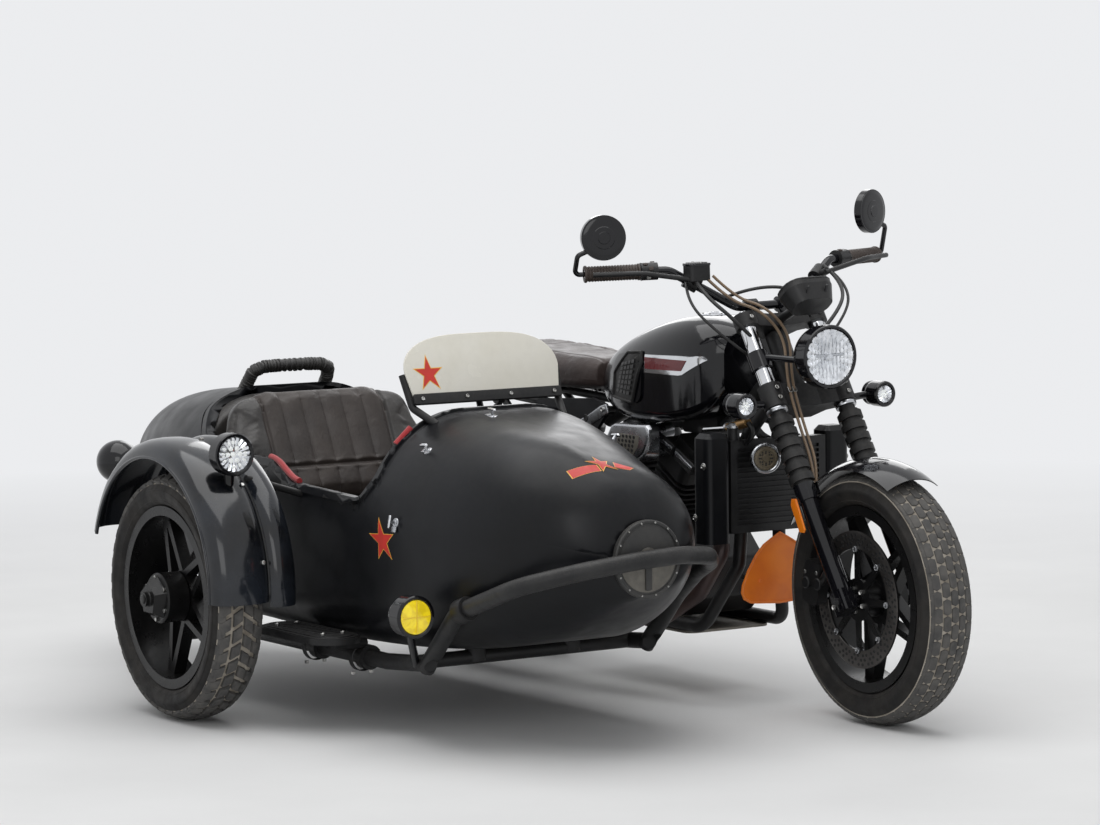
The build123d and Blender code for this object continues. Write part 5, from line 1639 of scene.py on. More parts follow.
    def hoses(self) -> None:
        """Run the brake hoses and control cables, which are clamped to the yokes."""
        shape = self.shape()
        upper = [(1112, -165, 1030), (1140, -120, 975), (1200, -75, 955), (1225, -25, 890)]
        for shift, radius in ((0.0, 3.6), (13.0, 3.4)):
            route = [bike(x + shift * 0.4, y + shift, z + shift * 0.5) for x, y, z in upper]
            route += [fork(70, -60 + shift, 575), fork(56, -60 + shift, 532), fork(50, -62 + shift, 440)]
            route += [fork(50, -64 + shift, 345), fork(42, -72 + shift * 0.4, 300)]
            shape.add(curved(route, radius), CORD_BROWN)
        loops = (
            ([(1085, -190, 1040), (1150, -205, 1000), (1215, -150, 930), (1205, -70, 860)], 4.6),
            ([(1075, -200, 1032), (1130, -240, 985), (1190, -190, 905), (1190, -80, 830)], 3.6),
            ([(1085, 190, 1040), (1150, 205, 1000), (1210, 150, 935), (1205, 60, 862)], 4.6),
            ([(1075, 205, 1034), (1140, 232, 990), (1195, 170, 910), (1190, 80, 832)], 3.6),
            ([(1120, -110, 985), (1180, -70, 1010), (1230, 20, 1000), (1215, 60, 930)], 4.0),
        )
        for route, radius in loops:
            shape.add(curved([bike(*place) for place in route], radius), CORD_BLACK)
        for shift in (0, 13):
            clip = datum(fork(54, -60 + shift, 538), LEAD, LEFT)
            shape.add(prism(clip, box_outline(11, 14, 2), 8, 1.2), SCREW)
        shape.build("hoses", "rubber", body=Body.STEERING)

    def pod(self) -> None:
        """Glaze the gauge and slot its bowl."""
        shape, (x, _, z) = self.shape(), self.gauge
        tilt, front = Vector((-0.6, 0, 0.8)), Vector((0.8, 0, 0.6))
        place = datum(bike(*self.gauge) + tilt * (12 * MM), tilt, LEFT)
        shape.add(prism(place, box_outline(132, 92, 38), 4, 1.5), PLASTIC_BLACK)
        shape.add(prism(place.moved(0, 0, 4), box_outline(112, 72, 30), 1.2, 0.5), GLOSS_BLACK)
        slope = Vector((0.94, 0, -0.34)).normalized()
        for y in (-26, 26):
            spot = datum(bike(x, y, z) + front * (40 * MM) - place.z * (22 * MM), slope, UP)
            shape.add(prism(spot, box_outline(30, 7, 3.4), 2.6, 0.8), GLOSS_BLACK)
        shape.build("gauge_face", "black_plastic", body=Body.STEERING)

    def caliper(self) -> None:
        """Bolt the caliper and close its pistons. The solid's box is already at the rest angle."""
        shape = Shape(self.palette)
        low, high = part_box("brake_caliper")
        middle = (Vector(low) + Vector(high)) / 2
        for x in (-22, 22):
            spot = datum(Vector((middle.x, low[1], middle.z)) + FORWARD * (x * MM), RIGHT, FORWARD)
            shape.add(turned(spot, ((0, 2.5), (12, 2.2), (14, 0.5), (14, -3), (0, -3)), 28), ENGINE_BLACK)
            shape.add(bolt(spot.moved(0, 26, 0), 5.0, 3.0, True), SCREW)
        shape.build("caliper_screws", "steel", body=Body.STEERING)

    def build(self) -> None:
        """Build everything that steers."""
        for step in (self.lamps, self.tubes, self.reflectors, self.bars, self.hoses, self.pod, self.caliper):
            step()


@dataclass(frozen=True)
class Motorcycle:
    """Trim of the motorcycle itself: badges, pads, covers, screws, horn and guards."""

    palette: Materials
    tank: Skin
    badge_frame: Outline = ((817, 830), (1020, 834), (1030, 825), (961, 787), (948, 785), (815, 786))
    badge_plate: Outline = ((818, 824), (976, 822), (958, 796), (820, 795))
    pad_outline: Outline = ((669, 719), (766, 710), (806, 812), (800, 835), (742, 832), (679, 779))
    pad_field: Outline = ((690, 731), (758, 724), (787, 820), (722, 806))
    pad_cells: tuple[int, int] = (4, 7)
    tank_side: float = 190.0
    frame_plate: Outline = ((422, 619), (440, 608), (551, 638), (634, 674), (625, 696), (600, 690), (545, 664))
    air_cover: Outline = (
        (652, 588), (664, 577), (802, 563), (846, 590), (862, 622), (866, 650), (856, 660), (716, 656), (700, 650),
    )
    air_cover_field: Outline = ((722, 590), (800, 583), (822, 606), (826, 632), (738, 634))
    louvres: tuple[Outline, ...] = (((788, 626), (862, 595)), ((876, 588), (946, 552)))
    engine_covers: tuple[tuple[int, float, float, float, float], ...] = (
        (-1, 640, 318, 92, 46), (-1, 800, 330, 74, 34), (1, 660, 320, 84, 44), (1, 800, 335, 70, 30),
    )
    guard_edge: Outline = (
        (-26, 398), (-48, 385), (-72, 360), (-94, 326), (-110, 292), (-113, 275), (-106, 260), (-87, 250), (0, 244),
    )
    guard_peak: tuple[float, float] = (0, 412)
    guard_x: float = 1160.0

    def on_tank(self, outline: Outline, side: int, lift: float, thickness: float, cuts: int = 6) -> Part:
        """Lay an outline on one side of the tank."""
        corners = [bike(x, side * self.tank_side, z) for x, z in outline]
        return self.tank.patch(corners, RIGHT * side, lift, thickness, cuts)

    def pad_cell(self, column: int, row: int) -> Corners:
        """Return the outline of one raised cell of the knee pad.

        Args:
            column: its number ahead.
            row: its number up.

        Returns:
            Its four corners, ahead and up.
        """
        (ax, az), (bx, bz), (cx, cz), (dx, dz) = self.pad_field
        columns, rows = self.pad_cells
        u0, u1 = (column + 0.12) / columns, (column + 0.88) / columns
        v0, v1 = (row + 0.16) / rows, (row + 0.84) / rows
        corners = []
        for u, v in ((u0, v0), (u1, v0), (u1, v1), (u0, v1)):
            low_x, low_z = ax + (bx - ax) * u, az + (bz - az) * u
            high_x, high_z = dx + (cx - dx) * u, dz + (cz - dz) * u
            corners.append((low_x + (high_x - low_x) * v, low_z + (high_z - low_z) * v))
        return corners

    def badges(self) -> None:
        """Lay the chrome frame with its bare red plate, and the ribbed knee pad, on each side."""
        chrome, plate, rubber = shapes(self.palette, 3)
        for side in (-1, 1):
            chrome.add(self.on_tank(self.badge_frame, side, 3.0, 4.0), CHROME)
            plate.add(self.on_tank(self.badge_plate, side, 4.6, 4.0), PLATE_RED)
            rubber.add(self.on_tank(self.pad_outline, side, 3.2, 4.0), RUBBER_BLACK)
            for column in range(self.pad_cells[0]):
                for row in range(self.pad_cells[1]):
                    rubber.add(self.on_tank(self.pad_cell(column, row), side, 7.0, 5.0, 1), PAD_RUBBER)
            ring = [bike(x, side * self.tank_side, z) for x, z in self.pad_outline]
            border = [
                self.tank.drop(start.lerp(end, share), RIGHT * side) - RIGHT * (side * 3.0 * MM)
                for start, end in zip(ring, [*ring[1:], ring[0]]) for share in (0.0, 0.33, 0.66)
            ]
            rubber.add(curved([*border, border[0]], 4.2, smooth=False), RUBBER_BLACK)
        chrome.build("tank_badges", "chrome")
        plate.build("badge_plates", "chrome")
        rubber.build("knee_pads", "rubber")

    def filler(self) -> None:
        """Cap the filler with a ring, a lid and a hinge."""
        shape = Shape(self.palette)
        place = Datum(bike(900, 0, 925), FORWARD, LEFT, UP)
        section = [
            (0, 6), (14, 6), (16, 4.5), (25, 4), (27, 2.5), (33, 2), (35, 0.5), (35, -12), (38, -14), (38, -18),
            (30, -18), (30, -1), (0, -1),
        ]
        shape.add(turned(place, section, 64), SILVER)
        shape.add(prism(place.moved(0, 0, 5.5), box_outline(12, 18, 3), 2, 0.6), CHROME)
        shape.add(spread(bolt(place.moved(29, 0, 2), 2.6, 2.4), place, 6), SCREW)
        shape.build("filler_cap", "steel")

    def plates(self) -> None:
        """Hang the bright frame plates, the pierced cover and the louvres."""
        silver, dark = shapes(self.palette, 2)
        out, stay_foot = 134, 96
        for side in (-1, 1):
            face = flank(out, side)
            silver.add(prism(face, facing(self.frame_plate, side), 7, 2.2), SILVER)
            hole = face.moved(534, 655 * -side, 7)
            dark.add(turned(hole, ((0, 0.3), (7.5, 0.3), (8.5, 1.2), (10, 0)), 24), ENGINE_BLACK)
            dark.add(bolt(face.moved(612, 682 * -side, 7), 6, 4), SCREW)
            for x, z in ((445, 616), (600, 680)):
                stay = [bike(x, side * out, z), bike(x, side * stay_foot, z)]
                dark.add(curved(stay, 7, smooth=False), TUBE_BLACK)
        cover = flank(166, -1)
        silver.add(prism(cover, self.air_cover, 12, 5.0, 0.97), SILVER)
        dark.add(prism(cover.moved(0, 0, 11.9), self.air_cover_field, 0.6, 0.2), SKID_GREY)
        hexagon = ((0, 0.25), (3.9, 0.25), (4.3, 0.9), (5.4, 0.0))
        for row in range(4):
            for column in range(6):
                x = 733 + 15.5 * column + 3.0 * row
                if x < 818 - (3 - row) * 3:
                    dark.add(turned(cover.moved(x, 594 + 11 * row, 12.4), hexagon, 6), ENGINE_BLACK)
        dark.add(turned(cover.moved(690, 612, 12), ((0, 0.3), (7, 0.3), (8, 1.4), (10, 0)), 24), ENGINE_BLACK)
        for (x0, z0), (x1, z1) in self.louvres:
            middle, length = bike((x0 + x1) / 2, -99, (z0 + z1) / 2), hypot(x1 - x0, z1 - z0)
            bar = datum(middle, RIGHT, Vector((x1 - x0, 0, z1 - z0)).normalized())
            dark.add(prism(bar, box_outline(length + 10, 30, 6), 6, 2), ENGINE_BLACK)
            silver.add(prism(bar.moved(0, 4, 6), box_outline(length, 9, 2), 3.5, 1), SILVER)
            for shift in (-11, -6):
                dark.add(prism(bar.moved(0, shift, 6), box_outline(length, 2.2), 2.0, 0.5), ENGINE_BLACK)
        silver.build("bright_plates", "steel")
        dark.build("cover_details", "engine_black")

    def engine(self) -> None:
        """Screw the engine's covers and ring them, and glaze the tail lamp."""
        shape, dark, lens = shapes(self.palette, 3)
        for side, x, z, radius, proud in self.engine_covers:
            place = datum(bike(x, side * (100 + proud), z), RIGHT * -side, FORWARD)
            rim = [(radius * 0.5, 0), (radius * 0.52, 2.5), (radius * 0.6, 2.5), (radius * 0.62, 0), (radius * 0.5, 0)]
            dark.add(turned(place, rim, 48), ENGINE_BLACK)
            dome = [(0, 4), (radius * 0.3, 3.4), (radius * 0.42, 1.2), (radius * 0.44, -1), (0, -1)]
            dark.add(turned(place, dome, 48), WHEEL_BLACK)
            shape.add(spread(bolt(place.moved(radius * 0.78, 0, 0), 4.6, 4.5), place, 8), SCREW)
        shape.build("engine_screws", "steel")
        tail = Datum(bike(-376, 0, 445), RIGHT, UP, -FORWARD)
        dark.add(prism(tail.moved(0, 0, -4), box_outline(82, 52, 13), 6, 1.5), PLASTIC_BLACK)
        lens.add(prism(tail, box_outline(68, 38, 9), 9, 3), PLATE_RED)
        for number in range(-4, 5):
            lens.add(prism(tail.moved(7 * number, 0, 8), box_outline(1.8, 31, 0.8), 1.8, 0.6), PLATE_RED)
        lens.build("tail_lens", "black_plastic")
        dark.build("engine_cover_rings", "engine_black")

    def radiator(self) -> None:
        """Fin the radiator, and screw its shrouds and cap."""
        fins, small = shapes(self.palette, 2)
        face = Datum(bike(1147, 0, 529), LEFT, UP, FORWARD)
        for number in range(51):
            fins.add(prism(face.moved(0, -104 + 4.15 * number, 0), box_outline(252, 1.2), 5.0), ENGINE_BLACK)
        fins.build("radiator_fins", "engine_black")
        for x, z in ((1147, 583), (1112, 458)):
            for side in (-1, 1):
                spot = datum(bike(x, side * 211.5, z), RIGHT * -side, FORWARD)
                small.add(turned(spot, ((0, 1.2), (7, 1.0), (9, -0.5), (9, -2), (0, -2)), 20), SCREW)
                small.add(bolt(spot.moved(0, 0, 1), 4.6, 3.0), SCREW)
        cap = Datum(bike(1140, -118, 670), FORWARD, LEFT, UP)
        small.add(turned(cap, ((0, 12), (9, 11), (15, 7), (19, 6), (19, 0), (15, -2), (0, -2)), 12), SILVER)
        small.build("shroud_screws", "steel")

    def horn(self) -> None:
        """Ring the horn and pierce its face."""
        shape = Shape(self.palette)
        normal = Vector((0.92, -0.38, 0)).normalized()
        place = datum(bike(1182, -60, 598) + normal * (22 * MM), normal, UP)
        ring = [(29, -1), (29, 2.5), (31, 4.6), (34, 4.6), (36.5, 2), (36.5, -6), (29, -6), (29, -1)]
        mesh_face = [(0, 4.4), (8, 4.2), (9, 2.6), (20, 2.2), (21, 3.4), (28, 2.6), (29.5, 0), (0, -1)]
        shape.add(turned(place, ring, 56), SILVER)
        shape.add(turned(place, mesh_face, 48), BRONZE)
        for reach, count in ((12, 8), (16, 12), (25, 20)):
            pit = turned(place.moved(reach, 0, 2.4), ((0, 0.5), (1.6, 0.5), (2.3, 0)), 8)
            shape.add(spread(pit, place, count), ENGINE_BLACK)
        shape.build("horn_face", "steel")

    def damper(self) -> None:
        """Lay the brass damper with its rod, collar and hose."""
        shape = Shape(self.palette)
        start, joint, end = bike(995, -108, 655), bike(1108, -108, 667), bike(1186, -108, 684)
        collar = [joint - (end - joint) * 0.06, joint + (end - joint) * 0.03]
        foot = [start + RIGHT * (-30 * MM), start + RIGHT * (6 * MM)]
        hose = [end, bike(1200, -100, 668), bike(1172, -96, 634), bike(1150, -96, 632)]
        shape.add(curved([start, joint], 5, smooth=False), CHROME)
        shape.add(curved([joint, end], 11, 16, smooth=False), BRASS)
        shape.add(curved(collar, 14, 16, smooth=False), SILVER)
        shape.add(curved(foot, 8, smooth=False), ENGINE_BLACK)
        shape.add(curved(hose, 7), ENGINE_BLACK)
        shape.build("brass_damper", "steel")

    def guard(self) -> None:
        """Shape the orange guard in front of the engine, in place of its solid."""
        shape, half = Shape(self.palette), list(self.guard_edge)
        outline = half + [(-y, z) for y, z in reversed(half[:-1])] + [self.guard_peak]
        sheet = Datum(bike(self.guard_x, 0, 0), LEFT, UP, FORWARD)
        shape.add(prism(sheet, outline, 4.0, 1.2), ORANGE)
        edge = [bike(self.guard_x + 3, y, z) for y, z in outline]
        shape.add(curved([*edge, edge[0]], 3.2, smooth=False), ORANGE)
        for side in (-1, 1):
            shape.add(bolt(sheet.moved(side * 60, 300, 4), 5.0, 1.6), ORANGE)
            stay = [bike(self.guard_x + 1, side * 60, 300), bike(1112, side * 74, 306)]
            shape.add(curved(stay, 7, smooth=False), TUBE_BLACK)
        shape.build("chin_guard_sheet", "guard_orange", ("chin_guard",))

    def under_tank(self) -> None:
        """Fill the space under the tank with its box, hoses and coil."""
        shape = Shape(self.palette)
        box, coil = bike(905, -52, 668), bike(1010, -44, 704)
        shape.add(prism(Datum(box, FORWARD, UP, LEFT), box_outline(150, 64, 14), 104, 8), PLASTIC_BLACK)
        for y in (-34, 0, 34):
            route = [bike(980, y, 660), bike(1040, y * 1.4, 690), bike(1080, y * 2.2, 640), bike(1120, y * 2.6, 632)]
            shape.add(curved(route, 11, 12), CORD_BLACK)
        shape.add(prism(Datum(coil, FORWARD, UP, LEFT), box_outline(70, 34, 6), 88, 5), ENGINE_BLACK)
        shape.build("coil_box", "black_plastic")

    def build(self) -> None:
        """Build the motorcycle's trim."""
        for step in (
            self.badges, self.filler, self.plates, self.engine, self.radiator, self.horn, self.damper, self.guard,
            self.under_tank,
        ):
            step()


def ease(value: float, low: float, high: float) -> float:
    """Return a smooth step from 0 at low to 1 at high."""
    share = min(1.0, max(0.0, (value - low) / (high - low)))
    return share * share * (3 - 2 * share)


@dataclass(frozen=True)
class Shell:
    """The painted shell of the sidecar: the solid's skin, drawn in a little beside the engine."""

    drawn_in: float = 52.0
    facing: tuple[float, float] = (0.74, 0.67)
    rise: tuple[float, float] = (1000, 1420)
    fall: tuple[float, float] = (1440, 1618)
    middle_height: float = 470.0
    long_edge: float = 35.0

    def keep_normals(self, piece: bpy.types.Object, node: bpy.types.Object) -> None:
        """Give the piece the smooth normals of its solid.

        Args:
            piece: the shell.
            node: the solid.
        """
        transfer = piece.modifiers.new("normals", "DATA_TRANSFER")
        transfer.object = node
        transfer.use_loop_data = True
        transfer.data_types_loops = {"CUSTOM_NORMAL"}
        transfer.loop_mapping = "POLYINTERP_NEAREST"
        graph = bpy.context.evaluated_depsgraph_get()
        piece.data = bpy.data.meshes.new_from_object(
            piece.evaluated_get(graph), preserve_all_data_layers=True, depsgraph=graph
        )
        piece.modifiers.clear()

    def draw_in(self, mesh: bpy.types.Mesh) -> None:
        """Draw the skin in where it faces the engine, with soft ends.

        Args:
            mesh: the shell's mesh.
        """
        toward, middle = Vector((0.0, *self.facing)), bike(0, CAR_OFFSET, self.middle_height)
        for vert in mesh.vertices:
            offset = vert.co - middle
            ahead = (vert.co.x - bike(0, 0, 0).x) / MM
            round_axis = Vector((0.0, offset.y, offset.z))
            if round_axis.length < 10 * MM:
                continue
            window = ease(ahead, *self.rise) * (1 - ease(ahead, *self.fall))
            share = max(0.0, round_axis.normalized().dot(toward)) ** 1.5
            vert.co -= toward * (self.drawn_in * MM * window * share)

    def build(self, node: bpy.types.Object, palette: Materials) -> bpy.types.Object:
        """Build the shell in place of its solid.

        Args:
            node: the solid.
            palette: the materials.

        Returns:
            The shell.
        """
        shape, part = Shape(palette), bmesh.new()
        part.from_mesh(node.data)
        bmesh.ops.remove_doubles(part, verts=part.verts, dist=2e-5)
        for face in part.faces:
            face.material_index = 0
        long_edges = [edge for edge in part.edges if edge.calc_length() > self.long_edge * MM]
        bmesh.ops.subdivide_edges(part, edges=long_edges, cuts=2)
        bmesh.ops.triangulate(part, faces=part.faces[:])
        shape.add(part, BODY_BLACK, recalculate=False)
        piece = shape.build("sidecar_shell", "matt_black", ("sidecar_body",), crease=180.0)
        self.keep_normals(piece, node)
        self.draw_in(piece.data)
        return piece


@dataclass(frozen=True)
class CarFender:
    """The sidecar's crowned mudguard with its rolled edge, inner blade, stays and screws."""

    radius: float = 342.0
    start: float = -4.0
    sweep: float = 166.0
    skin: float = 3.0
    crown: Outline = (
        (-44, 75), (-30, 73.5), (-17, 66), (-7, 52), (-2, 34), (0, 12), (0, -16), (-3, -40), (-9, -56), (-20, -68),
        (-34, -73),
    )
    inner_blade: Outline = ((-16, -70), (-6, -78), (-1, -92), (-2, -112), (-9, -130), (-22, -140))
    roll_radius: float = 4.5
    stays: tuple[float, ...] = (50, 118)
    screws: tuple[float, ...] = (12, 46, 84, 122, 154)

    @property
    def place(self) -> Datum:
        """The datum whose normal the guard turns about."""
        return Datum(CAR_AXLE + (FORWARD * -34 + UP * 33) * MM, FORWARD, UP, RIGHT)

    def at(self, angle: float, inset: float, height: float) -> Vector:
        """Return a place on the guard."""
        turn, reach = radians(angle), self.radius - inset
        return self.place.point(reach * cos(turn), reach * sin(turn), height)

    def blade(self, section: Outline, start: float, sweep: float, steps: int) -> Part:
        """Spin a closed section through part of a turn, with closed ends.

        Args:
            section: corners of radius and height.
            start: degrees of the first end.
            sweep: degrees that it runs.
            steps: how many parts it has.

        Returns:
            A closed mesh.
        """
        place, part = self.place, bmesh.new()
        angle = radians(start)
        away = place.x * cos(angle) + place.y * sin(angle)
        ring = [part.verts.new(place.origin + (away * r + place.z * h) * MM) for r, h in section]
        face = part.faces.new(ring)
        bmesh.ops.spin(part, geom=[face], cent=place.origin, axis=place.z, angle=radians(sweep), steps=steps)
        bmesh.ops.recalc_face_normals(part, faces=part.faces[:])
        return part

    def build(self, palette: Materials) -> None:
        """Build the guard in place of its solid.

        Args:
            palette: the materials.
        """
        shape, r = Shape(palette), self.radius
        outer = [(r + x, y) for x, y in self.crown]
        inner = [(x - self.skin, y * 0.965) for x, y in reversed(outer)]
        roll = [(outer[0][0] + x, 74 + y) for x, y in arc(self.roll_radius, 0, tau, 10)[:-1]]
        for section in (outer + inner, roll):
            shape.add(self.blade(section, self.start, self.sweep, 72), FENDER_BLACK)
        second = [(r + x, y) for x, y in self.inner_blade]
        under = [(x - self.skin, y + (2 if k < 3 else -2)) for k, (x, y) in enumerate(reversed(second))]
        shape.add(self.blade(second + under, self.start - 2, 150, 64), FENDER_BLACK)
        for angle in self.stays:
            spot = self.at(angle, 8, -70)
            foot = Vector((spot.x, bike(0, -1000, 0).y, spot.z - 60 * MM))
            shape.add(curved([spot, foot], 9, 12, smooth=False), TUBE_BLACK)
        for angle in self.screws:
            turn = radians(angle)
            outward = FORWARD * cos(turn) + UP * sin(turn)
            shape.add(bolt(datum(self.at(angle, 4.5, -50), outward, RIGHT), 5.5, 3.5, True), SCREW)
        shape.build("sidecar_mudguard", "gloss_black", ("sidecar_fender",), crease=40.0)


@dataclass(frozen=True)
class Sidecar:
    """Trim of the sidecar: stars, ribbons, latches, lamps, pane, seat handle, nose disc and step."""

    palette: Materials
    body: Skin
    nose_star: tuple[Place, ...] = (
        (1485, -747, 673), (1503, -780, 659), (1541, -755, 638), (1535, -710, 642), (1503, -718, 664),
    )
    ribbons: tuple[tuple[Place, ...], ...] = (
        ((1508, -830, 638), (1528, -828, 624), (1538, -760, 640), (1519, -760, 652)),
        ((1507, -704, 661), (1529, -666, 647), (1536, -681, 642), (1527, -713, 648)),
    )
    side_star: Outline = ((1039, 512), (1002, 472), (1040, 416), (1094, 419), (1100, 478))
    star_waist: float = 0.46
    latch_places: tuple[tuple[Place, Place], ...] = (
        ((1106, -1031, 504), (0.09, -0.98, 0.2)), ((1120, -952, 662), (-0.1, -0.62, 0.78)),
        ((1118, -779, 733), (0.08, -0.18, 0.98)), ((1106, -369, 504), (0.09, 0.98, 0.2)),
        ((1120, -448, 662), (-0.1, 0.62, 0.78)),
    )
    fender_lamp: Place = (702, -1243, 645)
    fog_lamp: Place = (1250, -1090, 312)
    pane_foot: Place = (998, -18, 764)
    pane_lean: float = 20.0
    mouth_slope: Outline = ((478, 604), (515, 601), (565, 583), (622, 563), (650, 560))
    mouth_rise: Outline = ((995, 668), (998, 704))
    board_half: float = 300.0
    board_corner: float = 205.0
    board_heights: tuple[float, float] = (450, 722)
    handle_leg: tuple[Place, ...] = (
        (-26, -117, 716), (6, -115, 752), (24, -110, 778), (31, -84, 789), (32, -40, 791),
    )
    wrap_turns: int = 46

    def star(self, tips: Sequence[Vector], scale: float = 1.0) -> list[Vector]:
        """Return the ten corners of a star.

        Args:
            tips: its five tips in order.
            scale: its size about the middle.

        Returns:
            The corners in order.
        """
        middle = sum(tips, Vector()) / 5
        corners = []
        for tip, following in zip(tips, [*tips[1:], tips[0]]):
            corners.append(tip)
            corners.append(middle + ((tip + following) / 2 - middle) * self.star_waist)
        return [middle + (corner - middle) * scale for corner in corners] if scale != 1.0 else corners

    def decal(self, shape: Shape, corners: Sequence[Vector], along: Vector, lift: float, finish: Finish) -> None:
        """Lay one flat painted shape on the body."""
        shape.add(self.body.patch(corners, along, lift, 0.5), finish)

    def stars(self) -> None:
        """Paint the plain stars and the ribbon."""
        red, yellow = shapes(self.palette, 2)
        down_nose = Vector((-0.53, 0.14, -0.83))
        for quad in self.ribbons:
            corners = [bike(*place) for place in quad]
            middle = sum(corners, Vector()) / 4
            wider = [middle + (corner - middle) * 1.06 for corner in corners]
            self.decal(red, corners, down_nose, 0.5, RED_PAINT)
            self.decal(yellow, wider, down_nose, 0.25, YELLOW_PAINT)
        nose_tips = [bike(*place) for place in self.nose_star]
        side_tips = [bike(x, -1040, z) for x, z in self.side_star]
        for tips, along, scale in ((nose_tips, down_nose, 0.86), (side_tips, LEFT, 0.92)):
            self.decal(yellow, self.star(tips), along, 0.8, YELLOW_PAINT)
            self.decal(red, self.star(tips, scale), along, 1.1, RED_PAINT)
        red.build("stars", "matt_black")
        yellow.build("star_edges", "matt_black")

    def latches(self) -> None:
        """Fit the turn latches round the cowl."""
        shape = Shape(self.palette)
        for place, normal in self.latch_places:
            outward = Vector(normal)
            spot = self.body.drop(bike(*place), -outward)
            foot = datum(spot, outward, UP if abs(normal[1]) > 0.9 else FORWARD)
            shape.add(turned(foot, ((0, 2), (9, 2), (11, 0.5), (11, -3), (0, -3)), 24), SILVER)
            shape.add(turned(foot, ((0, 16), (3.2, 16), (3.6, 3), (5, 1.8), (0, 1.8)), 16), SILVER)
            shape.add(prism(foot.moved(0, 0, 15), box_outline(30, 8, 3.9), 5, 1.8), CHROME)
            shape.add(prism(foot.moved(-16, 0, 0), box_outline(14, 16, 3), 4, 1.2), SILVER)
        shape.build("cowl_latches", "steel")

    def lamps(self) -> None:
        """Face the white lamp on the fender and the yellow fog lamp."""
        faces, lens, fog_lens = shapes(self.palette, 3)
        white = LampFace(Datum(bike(*self.fender_lamp) + FORWARD * (22 * MM), LEFT, UP, FORWARD), 49, 19)
        fog = LampFace(Datum(bike(*self.fog_lamp) + FORWARD * (26 * MM), LEFT, UP, FORWARD), 47, 1, True)
        for lamp, pane in ((white, lens), (fog, fog_lens)):
            lamp.add_to(faces)
            lamp.add_lens(pane)
        for angle in (0.0, pi / 2):
            along = LEFT * cos(angle) + UP * sin(angle)
            place = datum(fog.place.point(0, 0, 10.6), FORWARD, along)
            faces.add(prism(place, box_outline(70, 3.4, 1.6), 2.0, 0.7), YELLOW_LENS_RIB)
        faces.build("sidecar_lamp_faces", "gloss_black")
        lens.build("fender_lamp_lens", "lamp_clear")
        fog_lens.build("fog_lamp_lens", "lamp_yellow")

    @staticmethod
    def pane_outline() -> Corners:
        """Round the pane's outline: upright sides, round shoulders and a nearly flat top.

        Returns:
            The outline from the right foot to the left one.
        """
        half = [(196.0, 0.0)]
        for step in range(17):
            angle = pi / 2 * step / 16
            half.append((210 * max(0.0, cos(angle)) ** 0.62, 72 + 88 * sin(angle) ** 0.9))
        return half + [(-x, y) for x, y in reversed(half[:-1])]

    def pane(self) -> None:
        """Edge the pane, strap its foot and paint a plain star on it."""
        lean = radians(self.pane_lean)
        out = Vector((cos(lean), 0, sin(lean)))
        place = datum(car(*self.pane_foot) + out * (5 * MM), out, LEFT)
        strap, star_piece, edge_piece = shapes(self.palette, 3)
        for height, width in ((0, 25), (-10, 22)):
            strap.add(prism(place.moved(0, 6, height), box_outline(404, width, 5), 5, 1.4), TUBE_BLACK)
        for x in (-180, -60, 60, 180):
            strap.add(bolt(place.moved(x, 6, 5), 4.5, 3.5), SCREW)
        angles = (tau * k / 5 for k in range(5))
        tips = [place.point(-148 + 42 * sin(angle), 66 + 47 * cos(angle), 0) for angle in angles]
        middle = sum(tips, Vector()) / 5
        edge_piece.add(prism(place.moved(0, 0, -5), self.pane_outline(), 5, 1.6), CREAM)
        layers = ((1.0, 0.3, edge_piece, YELLOW_PAINT), (0.86, 0.7, star_piece, RED_PAINT))
        for scale, height, shape, finish in layers:
            offsets = [middle + (corner - middle) * scale - place.origin for corner in self.star(tips)]
            flat = [(offset.dot(place.x) / MM, offset.dot(place.y) / MM) for offset in offsets]
            shape.add(prism(place.moved(0, 0, 0.1), flat, height), finish)
        strap.build("pane_strap", "frame_black")
        star_piece.build("pane_star", "clear_pane")
        edge_piece.build("pane_glass", "clear_pane", ("windshield",))

    def nose(self) -> None:
        """Ring the nose disc, screw it down, and shade its halves."""
        shape = Shape(self.palette)
        place = datum(car(1630.3, 0, 446), FORWARD, LEFT)
        ring = [(78, -1), (78.5, 2.0), (81, 3.4), (85, 3.2), (87.5, 1), (87.5, -8), (78, -8), (78, -1)]
        low = [(x, min(y, -8)) for x, y in arc(74, pi, tau, 24)]
        high = [(x, max(y, 0)) for x, y in arc(74, 0, pi, 24)]
        shape.add(turned(place, ring, 72), COVER_GREY)
        shape.add(spread(bolt(place.moved(82.5, 0, 3.0), 2.2, 1.6), place, 14), SCREW)
        shape.add(prism(place.moved(0, 0, -0.2), low, 1.4, 0.4), COVER_PALE)
        shape.add(prism(place.moved(0, -38, 1.0), box_outline(13, 64, 3), 2.4, 0.8), COVER_GREY)
        shape.add(prism(place.moved(0, 0, -0.2), high, 1.0, 0.4), COVER_GREY)
        shape.add(prism(place.moved(0, 0, 0.8), arc(26, 0, pi, 16), 1.6, 0.6), COVER_PALE)
        shape.build("nose_disc", "matt_black")

    def bumper(self, shape: Shape, dark: Shape) -> None:
        """Clamp the bumper's arm.

        Args:
            shape: the piece of the screws.
            dark: the piece of the clamps.
        """
        start = car(1330, -310, 320)
        along = (car(1560, -296, 400) - start).normalized()
        place = datum(start, along, UP)
        collar = [(20.3, -10), (27, -10), (28, -8), (28, 26), (27, 28), (20.3, 28), (20.3, -10)]
        dark.add(turned(place.moved(0, 0, 18), collar, 36), TUBE_BLACK)
        for shift in (24, 42):
            shape.add(bolt(datum(place.point(0, -27, shift), RIGHT, along), 5.5, 6.0, True), SCREW)

